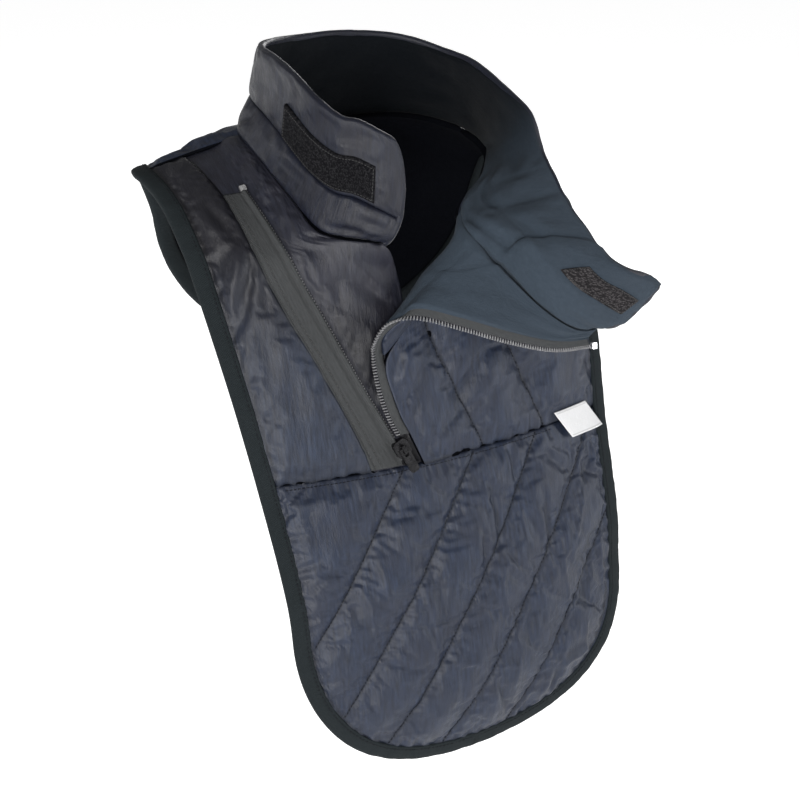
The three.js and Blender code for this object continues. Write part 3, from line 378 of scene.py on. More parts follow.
def edge_distance(corners, x, drape):
    sign = -1 if corners is BACK_CORNERS else 1
    half = half_width(sign * drape, x)
    start, depth, power = corner_of(corners, x)
    past = np.maximum((drape - start) / depth, 0)
    reach = (np.abs(x) / half) ** power + past**power
    rounded = (1 - reach ** (1 / power)) * np.minimum(half, depth)
    return np.where(past <= 0, half - np.abs(x), rounded)


# Collar and flap surfaces


def collar_place(at):
    sizes = (("across", NECK_RADIUS), ("drape", FRONT_DRAPE), ("lift", FLAP_LIFT))
    return [along(COLLAR, "at", name, at) * size for name, size in sizes]


def collar_point(at, column):
    base = lifted(*collar_place(at))
    if column == "base":
        return base
    step = [along(COLLAR, "at", column + name, at) for name in ("X", "Front", "Up")]
    return base + np.stack([step[0], -step[1], step[2]], -1) * COLLAR_HEIGHT


def collar_surface(at, height):
    at, height = np.broadcast_arrays(np.asarray(at, float), np.asarray(height, float))
    low, seam, rim = (collar_point(at, name) for name in ("base", "seam", "rim"))
    bend = (2 * seam - low - rim) * 0.08
    bow = bend * np.abs(np.sin(np.pi * height))[..., None]
    h = height[..., None]
    return np.where(h < 1, low + (seam - low) * h, seam + (rim - seam) * (h - 1)) + bow


def surface_normal(surface, s, t, step, limits):
    s0, s1 = np.maximum(s - step, 0), np.minimum(s + step, limits[0])
    t0, t1 = np.maximum(t - step, 0), np.minimum(t + step, limits[1])
    return unit(np.cross(surface(s1, t) - surface(s0, t), surface(s, t1) - surface(s, t0)))


def left_edge(drape):
    at = drape / FRONT_DRAPE
    across = along(LEFT_EDGE, "drape", "across", at) * NECK_RADIUS
    return across, along(LEFT_EDGE, "drape", "lift", at) * FLAP_LIFT


def left_zip_place(at, column):
    sizes = (("X", NECK_RADIUS), ("Drape", FRONT_DRAPE), ("Lift", FLAP_LIFT))
    return [along(LEFT_ZIP, "at", column + name, at) * size for name, size in sizes]


def flap_surface(s, t):
    """Middle of the flap: s from the chest over the roll to the end, t from the zip to the neck."""
    s, t = np.broadcast_arrays(np.asarray(s, float), np.asarray(t, float))
    zip_edge, neck = left_zip_place(FOLD_ROW + s, "edge"), collar_place(FLAP_FROM + s)
    x, drape, lift = (mix(a, b, t) for a, b in zip(zip_edge, neck))
    first = [mix(a, b, t) for a, b in zip(left_zip_place(FOLD_ROW, "edge"), collar_place(FLAP_FROM))]
    edge_x, edge_lift = left_edge(first[1])
    low = edge_lift + QUILT_GROOVE * 0.3 - SHELL_THICKNESS - GAP
    inside = np.sin(np.pi * np.clip(t, 0, 1))
    hold = (1 - smooth(s)) * np.maximum(inside, 0) ** 0.5
    belly = ROLL_BELLY * inside * np.sin(np.pi * np.minimum(s, 2) * 0.5)
    return lifted(x + (edge_x - first[0]) * hold - belly, drape, lift + (low - first[2]) * hold)


def flap_normal(s, t):
    """Normal on the shell side, which lies below once the flap is folded out."""
    return -surface_normal(flap_surface, s, t, 0.15, (FLAP_SPAN, 1))


def collar_normal(at, height):
    return -surface_normal(collar_surface, at, height, 0.3, (LAST, 2))


def offset(point, normal, cut, share, level):
    """Points moved off a surface, along its normal or along a cut that meets the next panel."""
    way = unit(normal + (cut - normal) * share[..., None])
    lean = np.maximum(np.sum(way * normal, -1), 0.6)
    return point + way * (level / lean)[..., None]


def collar_at(at, height, level):
    at, height, level = np.broadcast_arrays(at, height, level)
    point, normal = collar_surface(at, height), collar_normal(at, height)
    x, drape, _ = collar_place(at)
    body = neck_mitre(form_point(x, drape), form_normal(x, drape))
    to_body = 1 - smooth((at - ROLL_FROM) / 2)
    flap = unit(normal + flap_normal(np.clip(at - FLAP_FROM, 0, FLAP_SPAN), 1.0))
    to_flap = smooth((at - FLAP_FROM + 0.8) / 0.8)
    cut = normal + (body - normal) * to_body[..., None] + (flap - normal) * to_flap[..., None]
    return offset(point, normal, unit(cut), 1 - smooth(height / 0.15), level)


def flap_at(s, t, level):
    s, t, level = np.broadcast_arrays(s, t, level)
    normal = flap_normal(s, t)
    cut = unit(collar_normal(FLAP_FROM + s, 0.0) + normal)
    return offset(flap_surface(s, t), normal, cut, smooth((t - 0.85) / 0.15), level)


# Meshes


def quads_of(rows, cols, start=0):
    i, j = np.meshgrid(np.arange(rows - 1), np.arange(cols - 1), indexing="ij")
    a = (start + i * cols + j).ravel()
    return np.stack([a, a + cols, a + cols + 1, a + 1], -1)


def build(name, points, quads, materials, cloth, shade, inner=None):
    """Mesh object from points in mm, with its cloth coordinates in cm and a shade for each point."""
    mesh = bpy.data.meshes.new(name)
    mesh.vertices.add(len(points))
    mesh.vertices.foreach_set("co", (points * 0.001).astype(np.float32).ravel())
    mesh.loops.add(quads.size)
    mesh.loops.foreach_set("vertex_index", quads.astype(np.int32).ravel())
    mesh.polygons.add(len(quads))
    mesh.polygons.foreach_set("loop_start", np.arange(0, quads.size, quads.shape[1], dtype=np.int32))
    if inner is not None:
        mesh.polygons.foreach_set("material_index", inner.astype(np.int32))
    for material in materials:
        mesh.materials.append(material)
    place = mesh.attributes.new("cloth", "FLOAT_VECTOR", "POINT")
    place.data.foreach_set("vector", (cloth * 0.1).astype(np.float32).ravel())
    tone = mesh.attributes.new("shade", "FLOAT", "POINT")
    tone.data.foreach_set("value", shade.astype(np.float32).ravel())
    mesh.update(calc_edges=True)
    mesh.validate()
    mesh.shade_smooth()
    return placed(name, mesh)


def placed(name, data):
    obj = bpy.data.objects.new(name, data)
    bpy.context.scene.collection.objects.link(obj)
    return obj


def turned_out(points, quads):
    """Quads turned so that a closed mesh faces outwards."""
    p = points[quads[:, :3]]
    volume = np.einsum("ij,ij->i", p[:, 0], np.cross(p[:, 1], p[:, 2])).sum()
    q = points[quads[:, [0, 2, 3]]]
    volume += np.einsum("ij,ij->i", q[:, 0], np.cross(q[:, 1], q[:, 2])).sum()
    return quads if volume > 0 else quads[:, ::-1]


def slab(name, outer, inner, materials, cloth, shade=None, dark_rims=()):
    """Closed cloth between two grids of points, with its inner face and dark rims in the last
    material. Rims are 0 and 1 at the first and last column, 2 and 3 at the first and last row."""
    rows, cols = outer.shape[:2]
    count = rows * cols
    top = quads_of(rows, cols)
    under = quads_of(rows, cols, count)[:, ::-1]
    i, j = np.arange(rows - 1) * cols, np.arange(cols - 1)
    last = (rows - 1) * cols
    rims = [
        np.stack([i, i + count, i + count + cols, i + cols], -1),
        np.stack([i + cols - 1, i + 2 * cols - 1, i + 2 * cols - 1 + count, i + cols - 1 + count], -1),
        np.stack([j, j + 1, j + 1 + count, j + count], -1),
        np.stack([last + j, last + j + count, last + j + 1 + count, last + j + 1], -1),
    ]
    quads = np.concatenate([top, *rims, under])
    points = np.concatenate([outer.reshape(-1, 3), inner.reshape(-1, 3)])
    cloth = np.concatenate([cloth.reshape(-1, 3)] * 2)
    tone = np.ones(2 * count) if shade is None else np.concatenate([shade.ravel()] * 2)
    lined = [np.zeros(len(top)), *(np.full(len(rim), k in dark_rims) for k, rim in enumerate(rims))]
    lined = np.concatenate([*lined, np.ones(len(under))])
    return build(name, points, turned_out(points, quads), materials, cloth, tone, lined)


def sweep(name, sections, ring, materials, cloth=None):
    """Closed tube through a list of sections, each the same loop of points."""
    steps, count = sections.shape[:2]
    points = sections.reshape(-1, 3)
    turns = steps if ring else steps - 1
    i, j = np.meshgrid(np.arange(turns), np.arange(count), indexing="ij")
    after, k = (i + 1) % steps, (j + 1) % count
    sides = [i * count + j, after * count + j, after * count + k, i * count + k]
    quads = [np.stack(sides, -1).reshape(-1, 4)]
    if not ring:
        half = count // 2
        m = np.arange(half - 1) if count % 2 == 0 else np.arange(half)
        for base, flip in ((0, 1), ((steps - 1) * count, -1)):
            cap = np.stack([m, m + 1, count - 2 - m, count - 1 - m], -1) + base
            quads.append(cap[:, ::flip])
    quads = np.concatenate(quads)
    if cloth is None:
        cloth = np.zeros_like(sections)
    quads = turned_out(points, quads)
    return build(name, points, quads, materials, cloth.reshape(-1, 3), np.ones(len(points)))


def resample(values, rows, cols):
    """Smooth resampling of a grid of vectors to a finer grid."""

    def weights(count, wanted):
        at = np.linspace(0, count - 1, wanted)
        i = np.clip(np.floor(at).astype(int), 0, count - 2)
        t = at - i
        taps = (
            (-1, -0.5 * t + t * t - 0.5 * t**3),
            (0, 1 - 2.5 * t * t + 1.5 * t**3),
            (1, 0.5 * t + 2 * t * t - 1.5 * t**3),
            (2, -0.5 * t * t + 0.5 * t**3),
        )
        found = np.zeros((wanted, count))
        for step, share in taps:
            np.add.at(found, (np.arange(wanted), np.clip(i + step, 0, count - 1)), share)
        return found

    down, across = weights(values.shape[0], rows), weights(values.shape[1], cols)
    return np.einsum("ri,ijk,cj->rck", down, values, across, optimize=True)


# Cloth simulation: a sheet held at its stitches and cut a little too large, so that it puckers


def simulated(sheets, frames=16):
    """Moves of each sheet's points, from {name: (points, pins, growth, pressure, cap)} in mm."""
    size = 0.01
    made = {}
    for name, (points, pins, growth, pressure, cap) in sheets.items():
        rows, cols = points.shape[:2]
        mesh = bpy.data.meshes.new(name)
        mesh.from_pydata((points.reshape(-1, 3) * size).tolist(), [], quads_of(rows, cols).tolist())
        obj = placed("sim_" + name, mesh)
        held = obj.vertex_groups.new(name="held")
        levels = np.round(pins.ravel() * 10) / 10
        for level in np.unique(levels[levels > 0]):
            held.add(np.flatnonzero(levels == level).tolist(), float(level), "REPLACE")
        cloth = obj.modifiers.new("Cloth", "CLOTH")
        s = cloth.settings
        s.quality, s.mass, s.air_damping = 6, 0.15, 2
        s.tension_stiffness = s.compression_stiffness = 20
        s.shear_stiffness, s.bending_stiffness = 8, 0.08
        s.vertex_group_mass = "held"
        s.shrink_min = s.shrink_max = -growth
        s.use_pressure, s.uniform_pressure_force = True, pressure
        s.effector_weights.gravity = 0
        cloth.collision_settings.use_collision = False
        cloth.collision_settings.use_self_collision = False
        cloth.point_cache.frame_start, cloth.point_cache.frame_end = 1, frames
        made[name] = (obj, cap)
    for frame_number in range(1, frames + 1):
        bpy.context.scene.frame_set(frame_number)
    moves = {}
    graph = bpy.context.evaluated_depsgraph_get()
    for name, (obj, cap) in made.items():
        settled = obj.evaluated_get(graph).to_mesh()
        found = np.empty(len(settled.vertices) * 3, np.float32)
        settled.vertices.foreach_get("co", found)
        points = sheets[name][0]
        move = found.reshape(points.shape) / size - points
        length = np.linalg.norm(move, axis=-1, keepdims=True)
        moves[name] = move * np.minimum(1, cap / np.maximum(length, 1e-6))
        bpy.data.objects.remove(obj)
    bpy.context.scene.frame_set(1)
    return moves


# Panels: each gives places across and along the drape, levels off the form, pins, painted shade and, for
# some, a mitre


def quilt_lines(rows, x, drape):
    """Distance to the nearest quilting line, and the distance along it."""
    start = rows["first"] * BIB_HALF_WIDTH + rows["lean"] * (drape - SEAM_DRAPE)
    line = np.clip(np.round((x - start) / QUILT_SPACING), 0, rows["lines"] - 1)
    length = math.hypot(1, rows["lean"])
    return np.abs(x - start - line * QUILT_SPACING) / length, (drape - SEAM_DRAPE) * length


def stitched_in(away, run, seed):
    """Depth of cloth drawn in by a row of stitches, with short puckers across it."""
    draw = QUILT_GROOVE * (0.75 * np.exp(-away / 1.7) + 0.5 * np.exp(-away / 8))
    return draw + 0.9 * np.exp(-away / 6) * smooth(away / 1.5) * noise(run / 4.2, away / 14, seed)


def quilted(distance, away, run, seed):
    full = smooth((distance - BINDING_WIDTH + 2) / 14)
    inner = mix(-2 * STITCHED, -QUILT_THICKNESS, full)
    thick = mix(STITCHED, QUILT_THICKNESS, full)
    return inner + thick - full * stitched_in(away, run, seed), inner


# Creases of the cloth: from and to a place across and along the drape, depth and width in mm.
# A negative depth is a raised fold. On the collar, places are round it and up it.
CREASE_COLUMNS = ["fromAcross", "fromAlong", "toAcross", "toAlong", "depth", "width"]
BIB_CREASES = table(
    CREASE_COLUMNS,
    [
        [23, 279, 26, 330, 2.4, 2.4],
        [68, 299, 72, 354, 2.6, 2.8],
        [10, 310, 12, 343, 2.0, 2.4],
        [45, 262, 46, 292, 1.6, 2.2],
        [124, 336, 90, 364, 1.8, 5.0],
        [111, 360, 98, 404, 2.4, 4.5],
        [114, 402, 127, 418, 1.8, 2.6],
        [119, 432, 72, 441, -2.6, 3.2],
        [18, 434, 25, 460, 2.2, 2.4],
        [-34, 322, -24, 386, 1.7, 5.5],
        [-45, 340, -36, 384, 1.5, 4.0],
        [-129, 306, -122, 326, 1.8, 3.0],
        [-123, 284, -108, 274, 1.3, 4.0],
        [128, 280, 104, 312, 1.8, 5.0],
        [31, 332, 41, 348, 1.4, 2.2],
        [-96, 338, -83, 373, 1.3, 4.5],
        [76, 438, 63, 472, 1.6, 3.0],
        [-60, 420, -38, 440, -1.2, 6.0],
        [50, 380, 42, 410, 1.2, 4.0],
    ],
)
CHEST_CREASES = table(
    CREASE_COLUMNS,
    [
        [-30, 176, -52, 214, -2.6, 4.0],
        [-15, 172, -36, 232, 1.7, 4.5],
        [-24, 190, -44, 222, 0.9, 3.2],
        [18, 196, -3, 236, 2.0, 6.0],
        [40, 186, 26, 220, -1.6, 6.0],
        [72, 196, 62, 230, 1.6, 5.0],
        [112, 196, 104, 236, 1.4, 6.0],
        [30, 238, 26, 252, 0.7, 2.4],
        [38, 240, 36, 252, 0.6, 2.2],
    ],
)
RIGHT_CREASES = table(
    CREASE_COLUMNS,
    [
        [-130, 104, -146, 142, -2.4, 4.5],
        [-122, 96, -137, 146, 2.2, 4.0],
        [-143, 60, -130, 100, 1.8, 4.0],
        [-150, 88, -156, 118, 1.6, 3.0],
        [-124, 156, -129, 196, 1.3, 6.0],
        [-112, 176, -116, 222, 1.0, 7.0],
        [-118, 44, -122, 84, 1.4, 4.0],
    ],
)
UNDERLAY_CREASES = table(
    CREASE_COLUMNS,
    [
        [-96, 100, -88, 132, -1.8, 5.0],
        [-66, 112, -42, 132, -1.8, 5.0],
        [-60, 126, -40, 146, 1.6, 4.0],
        [-100, 134, -84, 163, -1.5, 5.0],
        [-76, 120, -70, 150, 1.3, 5.0],
    ],
)


def creased(rows, x, drape):
    """Depth of the creases at a place, each with a low ridge along one side."""
    depth = np.zeros_like(x)
    for x0, drape0, x1, drape1, deep, wide in zip(*rows.values()):
        way = np.array([x1 - x0, drape1 - drape0])
        length = np.hypot(*way)
        here = np.stack([x - x0, drape - drape0], -1)
        share = np.clip(here @ way / length**2, 0, 1)
        away = np.linalg.norm(here - share[..., None] * way, axis=-1)
        side = (here[..., 1] * way[0] - here[..., 0] * way[1]) / length
        ridge = 0.45 * np.exp(-(((side - 2 * wide) / (1.4 * wide)) ** 2)) * (away < 6 * wide)
        fade = np.sin(np.pi * mix(0.06, 0.94, share))
        past = np.exp(-((np.maximum(away - np.abs(side), 0) / wide) ** 2))
        depth += deep * fade * (np.exp(-((away / wide) ** 2)) - ridge * past)
    return depth


def edge_puckers(rim, x, drape, seed):
    """Small tucks of the cloth where it goes under the binding."""
    return 0.9 * np.exp(-np.abs(rim - 15) / 5) * smooth((rim - 11) / 2) * noise(x / 5.5, drape / 5.5, seed)


def painted_groove_shade(away, creases=0.0):
    """Painted shade: the cloth's colour darkened down in a stitched line or a crease, more for a deeper
    crease.
    """
    return 1 - 0.5 * np.exp(-((away / 1.3) ** 2)) - np.clip(0.12 * creases, 0, 0.35)


def by_label(x, drape):
    """1 under the label and just round it, 0 away from it."""
    across = np.maximum(np.abs(x - BIB_HALF_WIDTH + 33) - 24, 0)
    down = np.maximum(np.abs(drape - SEAM_DRAPE - 3) - 12, 0)
    return 1 - smooth(np.hypot(across, down) / 8)


def rumpled(x, drape, seed, depth=1.0):
    """Soft uneven swell of worn cloth, with longer folds down the drape."""
    folds = noise(x / 19 + 0.4 * noise(x / 50, drape / 50, seed), drape / 62, seed + 1)
    sharp = (1 - np.abs(folds)) ** 3 - 0.3
    small = noise(x / 8, drape / 17, seed + 2)
    return depth * (0.9 * sharp + 0.35 * small + 0.8 * noise(x / 40, drape / 45, seed + 3))


def made_of(x, drape, outer, inner, pins, shade):
    return {"x": x, "drape": drape, "outer": outer, "inner": inner, "pins": pins, "shade": shade}


def bib_place(v, t):
    u = mix(np.sin((t - 0.5) * np.pi), 2 * t - 1, 0.35)
    drape = mix(SEAM_DRAPE, hem_drape(FRONT_CORNERS, u, STITCHED), v)
    x = u * (half_width(drape, u) - STITCHED)
    rim = edge_distance(FRONT_CORNERS, x, drape)
    top = drape - SEAM_DRAPE
    away, run = quilt_lines(BIB_QUILTING, x, drape)
    outer, inner = quilted(np.minimum(rim, top + 9), away, run, 3)
    held = by_label(x, drape)
    outer = outer - 1.4 * np.exp(-top / 3) - 1.2 * (1 - held) * np.exp(-top / 9) * noise(x / 4, top / 24, 7)
    free = smooth((rim - 12) / 10) * smooth(top / 12) * (1 - held)
    creases = free * creased(BIB_CREASES, x, drape)
    outer = outer + free * smooth(away / 10) * rumpled(x, drape, 11, 1.1) - creases
    outer = outer + edge_puckers(rim, x, drape, 13)
    pins = most(near(rim, 10, 3), near(top, 1, 3), held, near(away, 1.2, 2.2))
    # Painted shade down the quilting lines, along the seam and the binding's inner edge, and in the creases
    shade = painted_groove_shade(least(away, top, np.abs(rim - 11.5)), creases)
    return made_of(x, drape, outer, inner, pins, shade)


def placket_x(drape):
    return along(PLACKET, "drape", "placket", drape / FRONT_DRAPE) * BIB_HALF_WIDTH


def zip_x(drape):
    return along(PLACKET, "drape", "zip", drape / FRONT_DRAPE) * BIB_HALF_WIDTH


def chest_right_place(v, u):
    drape = mix(0, SEAM_DRAPE + SEAM_LAP, v)
    left = -half_width(drape, -1) + STITCHED
    right = placket_x(drape)
    x = mix(left, right, u)
    rim, seam, fold = x - left, np.maximum(SEAM_DRAPE - drape, 0), right - x
    outer, inner = quilted(least(rim, seam + 9, drape + 12), 99.0, drape, 0)
    outer = outer - 1.4 * np.exp(-seam / 3) - 1.1 * np.exp(-seam / 9) * noise(x / 4.5, seam / 24, 17)
    outer = outer - 2.2 * near(fold, 0, 2.2) - 0.5 * near(seam, 0, 1.5)
    creases = creased(RIGHT_CREASES, x, drape)
    free = smooth((rim - 12) / 6) * smooth(seam / 12) * smooth((fold - 1) / 4)
    outer = outer + free * (rumpled(x, drape, 23, 0.8) - creases)
    outer = outer + edge_puckers(rim, x, drape, 25)
    pins = most(near(rim, 10, 3), near(least(seam, fold), 1, 3), near(drape, 0, 3))
    # Painted shade along the seam, the placket's fold and the binding's inner edge, and in the creases
    shade = painted_groove_shade(least(seam, fold, np.abs(rim - 11.5)), free * creases)
    return made_of(x, drape, outer, inner, pins, shade)


def underlay_place(v, u):
    drape = mix(0, SEAM_DRAPE, v)
    at = drape / FRONT_DRAPE
    right = along(UNDERLAY_EDGE, "drape", "across", at) * NECK_RADIUS - 0.3
    lift = np.maximum(along(UNDERLAY_EDGE, "drape", "lift", at), 0) * FLAP_LIFT
    neck = 1 - smooth((at - 0.2) / 0.05)
    left = placket_x(drape)
    x = mix(left, right, u)
    outer = mix(-UNDERLAY_DEPTH, lift, neck * smooth((u - 0.4) / 0.6))
    past = x - zip_x(drape)
    free = smooth((past - 3) / 10) * smooth((right - x) / 10)
    folds = 1.1 * noise(x / 19 + drape / 40, drape / 48, 31) + 0.3 * noise(x / 8, drape / 20, 33)
    folds = folds - creased(UNDERLAY_CREASES, x, drape)
    puff = 1.6 * free * smooth((SEAM_DRAPE - drape) / 20)
    outer = outer + puff + free * folds
    inner = mix(-UNDERLAY_DEPTH, lift, neck * smooth((u - 0.4) / 0.6)) - UNDERLAY_THICKNESS
    pins = 1 - smooth((np.minimum(past, right - x) - 2) / 4)
    mitre = smooth((u - 0.85) / 0.15) * (at < 0.21)
    # Painted shadow cast by the open flap: the underlay darkens lower down and away from the zip
    shade = 1 - 0.62 * smooth((drape - 124) / 50) * smooth((past + 4) / 12)
    return {**made_of(x, drape, outer, inner, pins, shade), "mitre": mitre}


def chest_left_place(v, u):
    drape = mix(0, SEAM_DRAPE + SEAM_LAP, v)
    edge_x, edge_lift = left_edge(drape)
    right = half_width(drape, 1) - STITCHED
    x = mix(edge_x + 0.2, right, u)
    rim, seam = right - x, np.maximum(SEAM_DRAPE - drape, 0)
    away, run = quilt_lines(CHEST_QUILTING, x, drape)
    outer, inner = quilted(least(rim, seam + 9, drape + 12), away, run, 5)
    opened = smooth((drape / FRONT_DRAPE - 0.19) / 0.03)
    beside = opened * near(x - edge_x, 6, 26)
    over = opened * near(x - edge_x, 24, 20)
    held = by_label(x, drape)
    tucks = 1.2 * (1 - held) * np.exp(-seam / 9) * noise(x / 4, seam / 24, 27)
    outer = outer - 1.4 * np.exp(-seam / 3) - tucks
    outer = mix(outer, edge_lift + QUILT_GROOVE * 0.3, beside) - 0.5 * near(seam, 0, 1.5)
    free = smooth((rim - 12) / 10) * smooth(seam / 12) * (1 - held) * smooth((x - edge_x - 3) / 12)
    creases = free * creased(CHEST_CREASES, x, drape)
    outer = outer + free * smooth(away / 10) * rumpled(x, drape, 41, 1.1) - creases
    outer = outer + edge_puckers(rim, x, drape, 43)
    inner = mix(inner, -UNDERLAY_DEPTH + 3 * GAP + np.maximum(edge_lift - 1, 0), over)
    pins = most(near(rim, 10, 3), near(least(seam, x - edge_x), 1, 3), near(away, 1.2, 2.2))
    pins = most(pins, near(drape, 0, 3), held, near(x - edge_x, 5, 6))
    mitre = near(u, 0, 0.1) * near(drape / FRONT_DRAPE, 0.07, 0.05)
    # Painted shade down the quilting lines, along the seam and the binding's inner edge, and in the creases
    shade = painted_groove_shade(least(away, seam, np.abs(rim - 11.5)), creases)
    return {**made_of(x, drape, outer, inner, pins, shade), "mitre": mitre}


def back_neck_drape(x):
    at = x / NECK_RADIUS
    inside = np.abs(at) < 1.01
    found = along(BACK_NECK, "across", "drape", np.clip(at, -1.01, 1.01)) * FRONT_DRAPE
    return np.where(inside, np.minimum(found - 0.2, 0), 0)


def back_place(v, t):
    u = mix(np.sin((t - 0.5) * np.pi), 2 * t - 1, 0.35)
    top_x = u * (half_width(0, u) - STITCHED)
    top = -back_neck_drape(top_x)
    drape = mix(top, hem_drape(BACK_CORNERS, u, STITCHED), v)
    stretch = mix(half_width(0, u) / half_width(-top, u), 1, v)
    x = u * (half_width(-drape, u) - STITCHED) * stretch
    rim = edge_distance(BACK_CORNERS, x, drape)
    outer, inner = quilted(np.minimum(rim, drape + 12), 99.0, drape, 0)
    free = smooth((rim - 12) / 10) * smooth((drape - top) / 12)
    outer = outer + free * rumpled(x, -drape, 51, 0.9) + edge_puckers(rim, x, drape, 53)
    outer = outer + 1.1 * near(drape - top, 0, 7)
    pins = most(near(rim, 10, 3), near(drape - top, 1, 3))
    mitre = near(v, 0, 0.06) * (np.abs(top_x) < NECK_RADIUS)
    # Painted shade along the binding's inner edge
    made = made_of(x, -drape, outer, inner, pins, painted_groove_shade(np.abs(rim - 11.5)))
    return {**made, "mitre": mitre}


def panel_side(made, level):
    point, normal = form_point(made["x"], made["drape"]), form_normal(made["x"], made["drape"])
    mitre = made.get("mitre", np.zeros_like(made["x"]))
    return offset(point, normal, neck_mitre(point, normal), mitre, made[level])


COLLAR_RUN = 26.0

# Creases of the collar's outer cloth, from and to a place round it and up it, in mm
BAND_CREASES = table(
    CREASE_COLUMNS,
    [
        [14, 9, 74, 5, 2.2, 2.6],
        [12, 16, 50, 15, 1.8, 2.4],
        [20, 12, 46, 3, -1.2, 3.0],
        [84, 22, 138, 8, 1.8, 5.0],
        [150, 20, 176, 4, 1.4, 4.0],
        [24, 60, 92, 66, 1.0, 7.0],
        [104, 62, 158, 44, 1.3, 8.0],
        [8, 34, 16, 60, 0.8, 5.0],
        [190, 40, 250, 60, 1.2, 8.0],
        [330, 36, 390, 58, 1.2, 8.0],
        [220, 20, 270, 6, 1.3, 5.0],
        [340, 6, 400, 18, 1.3, 5.0],
    ],
)


def band_levels(v, at, start, length, seed, held=0.0, rim=False):
    """Outer level of a collar band from seam to seam, or to the rolled rim, and its pins."""
    full = np.abs(np.sin(np.pi * v)) ** 0.6
    across = np.minimum(v, 1 - v) * length
    if rim:
        full = np.where(v < 0.5, full, 0.75 + 0.25 * full)
    thick = mix(STITCHED, SHELL_THICKNESS + BAND_PUFF * 0.4, full)
    thick = thick - smooth(across / 4) * creased(BAND_CREASES, at * COLLAR_RUN, start + v * length)
    pucker = 0.45 * np.exp(-across / 5) * smooth(across / 1.5) * noise(at * 4.5, across / 20, seed)
    uneven = noise(at * 1.1, v * 1.2, seed + 1) + 0.25 * noise(at * 3, v * 3, seed + 2)
    swell = np.sin(np.pi * v) * uneven
    pins = np.maximum(near(across, 1, 3), held)
    return GAP + thick + (pucker + swell) * (1 - held), pins


def nose_reach(height):
    up = np.maximum(height - 1, 0)
    return 0.5 * up**4, LAST - 0.35 * (1 - np.minimum(height, 1)) ** 2


def band_side(v, u, low, high, level):
    height = mix(low, high, v)
    start, end = nose_reach(height)
    at = mix(start, end, u)
    return collar_at(at, height, level), at, height


def band(v, u, low, high, start, length, seed, held=0.0, rim=False):
    """Collar band between two heights, which starts that many mm up the collar's cloth."""
    outer, pins = band_levels(v, u * LAST, start, length, seed, held, rim)
    points, at, height = band_side(v, u, low, high, outer)
    back = band_side(v, u, low, high, np.full_like(v, GAP))[0]
    cloth = flat(at * COLLAR_RUN, start + (height - math.floor(low)) * length)
    return {"points": points, "back": back, "cloth": cloth, "pins": pins}


def lower_band(v, u):
    return band(v, u, 0.0, 0.995, 0, 24, 61)


def upper_band(v, u):
    at = u * LAST
    held = smooth((at - 0.9) / 0.4) * smooth((5.4 - at) / 0.4) * smooth((0.7 - v) / 0.1)
    return band(v, u, 1.005, 2.0, 24, 48, 71, held, True)


# Folds pressed into the fleece, from and to a place round the collar and up it, in mm.
# The flap below the neck seam continues the same height below 0.
FOLDS = table(
    CREASE_COLUMNS,
    [
        [455, 20, 525, 34, 2.2, 4],
        [525, 34, 614, 43, 1.9, 5],
        [502, 4, 588, 20, 2.0, 4],
        [577, 54, 658, 43, 1.5, 5],
        [629, 22, 671, 7, 1.3, 5],
        [421, 36, 478, 54, 1.5, 5],
    ],
)


def fleece_swell(at, height, seed):
    broad = noise(at * 0.9, height * 1.6, seed)
    folds = creased(FOLDS, at * COLLAR_RUN, height * 36)
    swell = 1.3 * broad + 0.6 * noise(at * 2.2, height * 3.4, seed + 1) + 1.6 * folds
    return np.minimum(swell, 1.0 + 0.9 * smooth((at - 14) / 4))


def collar_fleece(v, u):
    height = 2 * v
    start, end = nose_reach(height)
    at = mix(start, end, u)
    edge = np.minimum(smooth(v / 0.05), smooth((1 - v) / 0.06)) * smooth((1 - u) / 0.01)
    open_part = smooth((at - 14) / 4)
    under_strip = smooth((at - 23) / 0.5) * smooth((26 - at) / 0.4) * smooth((height - 1.05) / 0.1)
    swell = fleece_swell(at, height, 81) * (1 - 0.85 * under_strip)
    level = -GAP - LINING_THICKNESS + 0.8 - edge * (1.2 + open_part * 1.1 - swell)
    cloth = flat(at * COLLAR_RUN, height * 36)
    # Painted shade: the fleece darkens to near black deep inside the neck, away from the flap
    shade = mix(0.1, 1, smooth((at - 14.5) / 5))
    back = collar_at(at, height, np.full_like(at, -GAP + 0.1))
    return {"points": collar_at(at, height, level), "back": back, "cloth": cloth, "shade": shade}


def flap_cloth_coords(s, t):
    return flat((s + FLAP_FROM) * COLLAR_RUN, (t - 1) * 70)


def flap_fleece(v, u):
    s, t = u * (FLAP_SPAN - 0.02), v
    edge = np.minimum(smooth(v / 0.06), smooth((1 - v) / 0.06)) * smooth(u / 0.02) * smooth((1 - u) / 0.01)
    swell = fleece_swell(s + FLAP_FROM, (t - 1) * 1.9, 91)
    level = -GAP - LINING_THICKNESS + 0.8 - edge * (2.2 - swell * 0.9)
    cloth = flap_cloth_coords(s, t)
    back = flap_at(s, t, np.full_like(s, -GAP + 0.1))
    return {"points": flap_at(s, t, level), "back": back, "cloth": cloth}


def flap_shell(v, u):
    s, t = u * (FLAP_SPAN - 0.02), v
    inside = smooth(u / 0.08) * smooth((1 - u) / 0.03)
    swell = inside * (0.9 * noise(s * 1.5, t * 3, 95) + 0.5 * noise(s * 4, t * 5, 96))
    back = flap_at(s, t, np.full_like(s, GAP))
    return {
        "points": flap_at(s, t, GAP + SHELL_THICKNESS + swell),
        "back": back,
        "cloth": flap_cloth_coords(s, t),
    }


# Materials


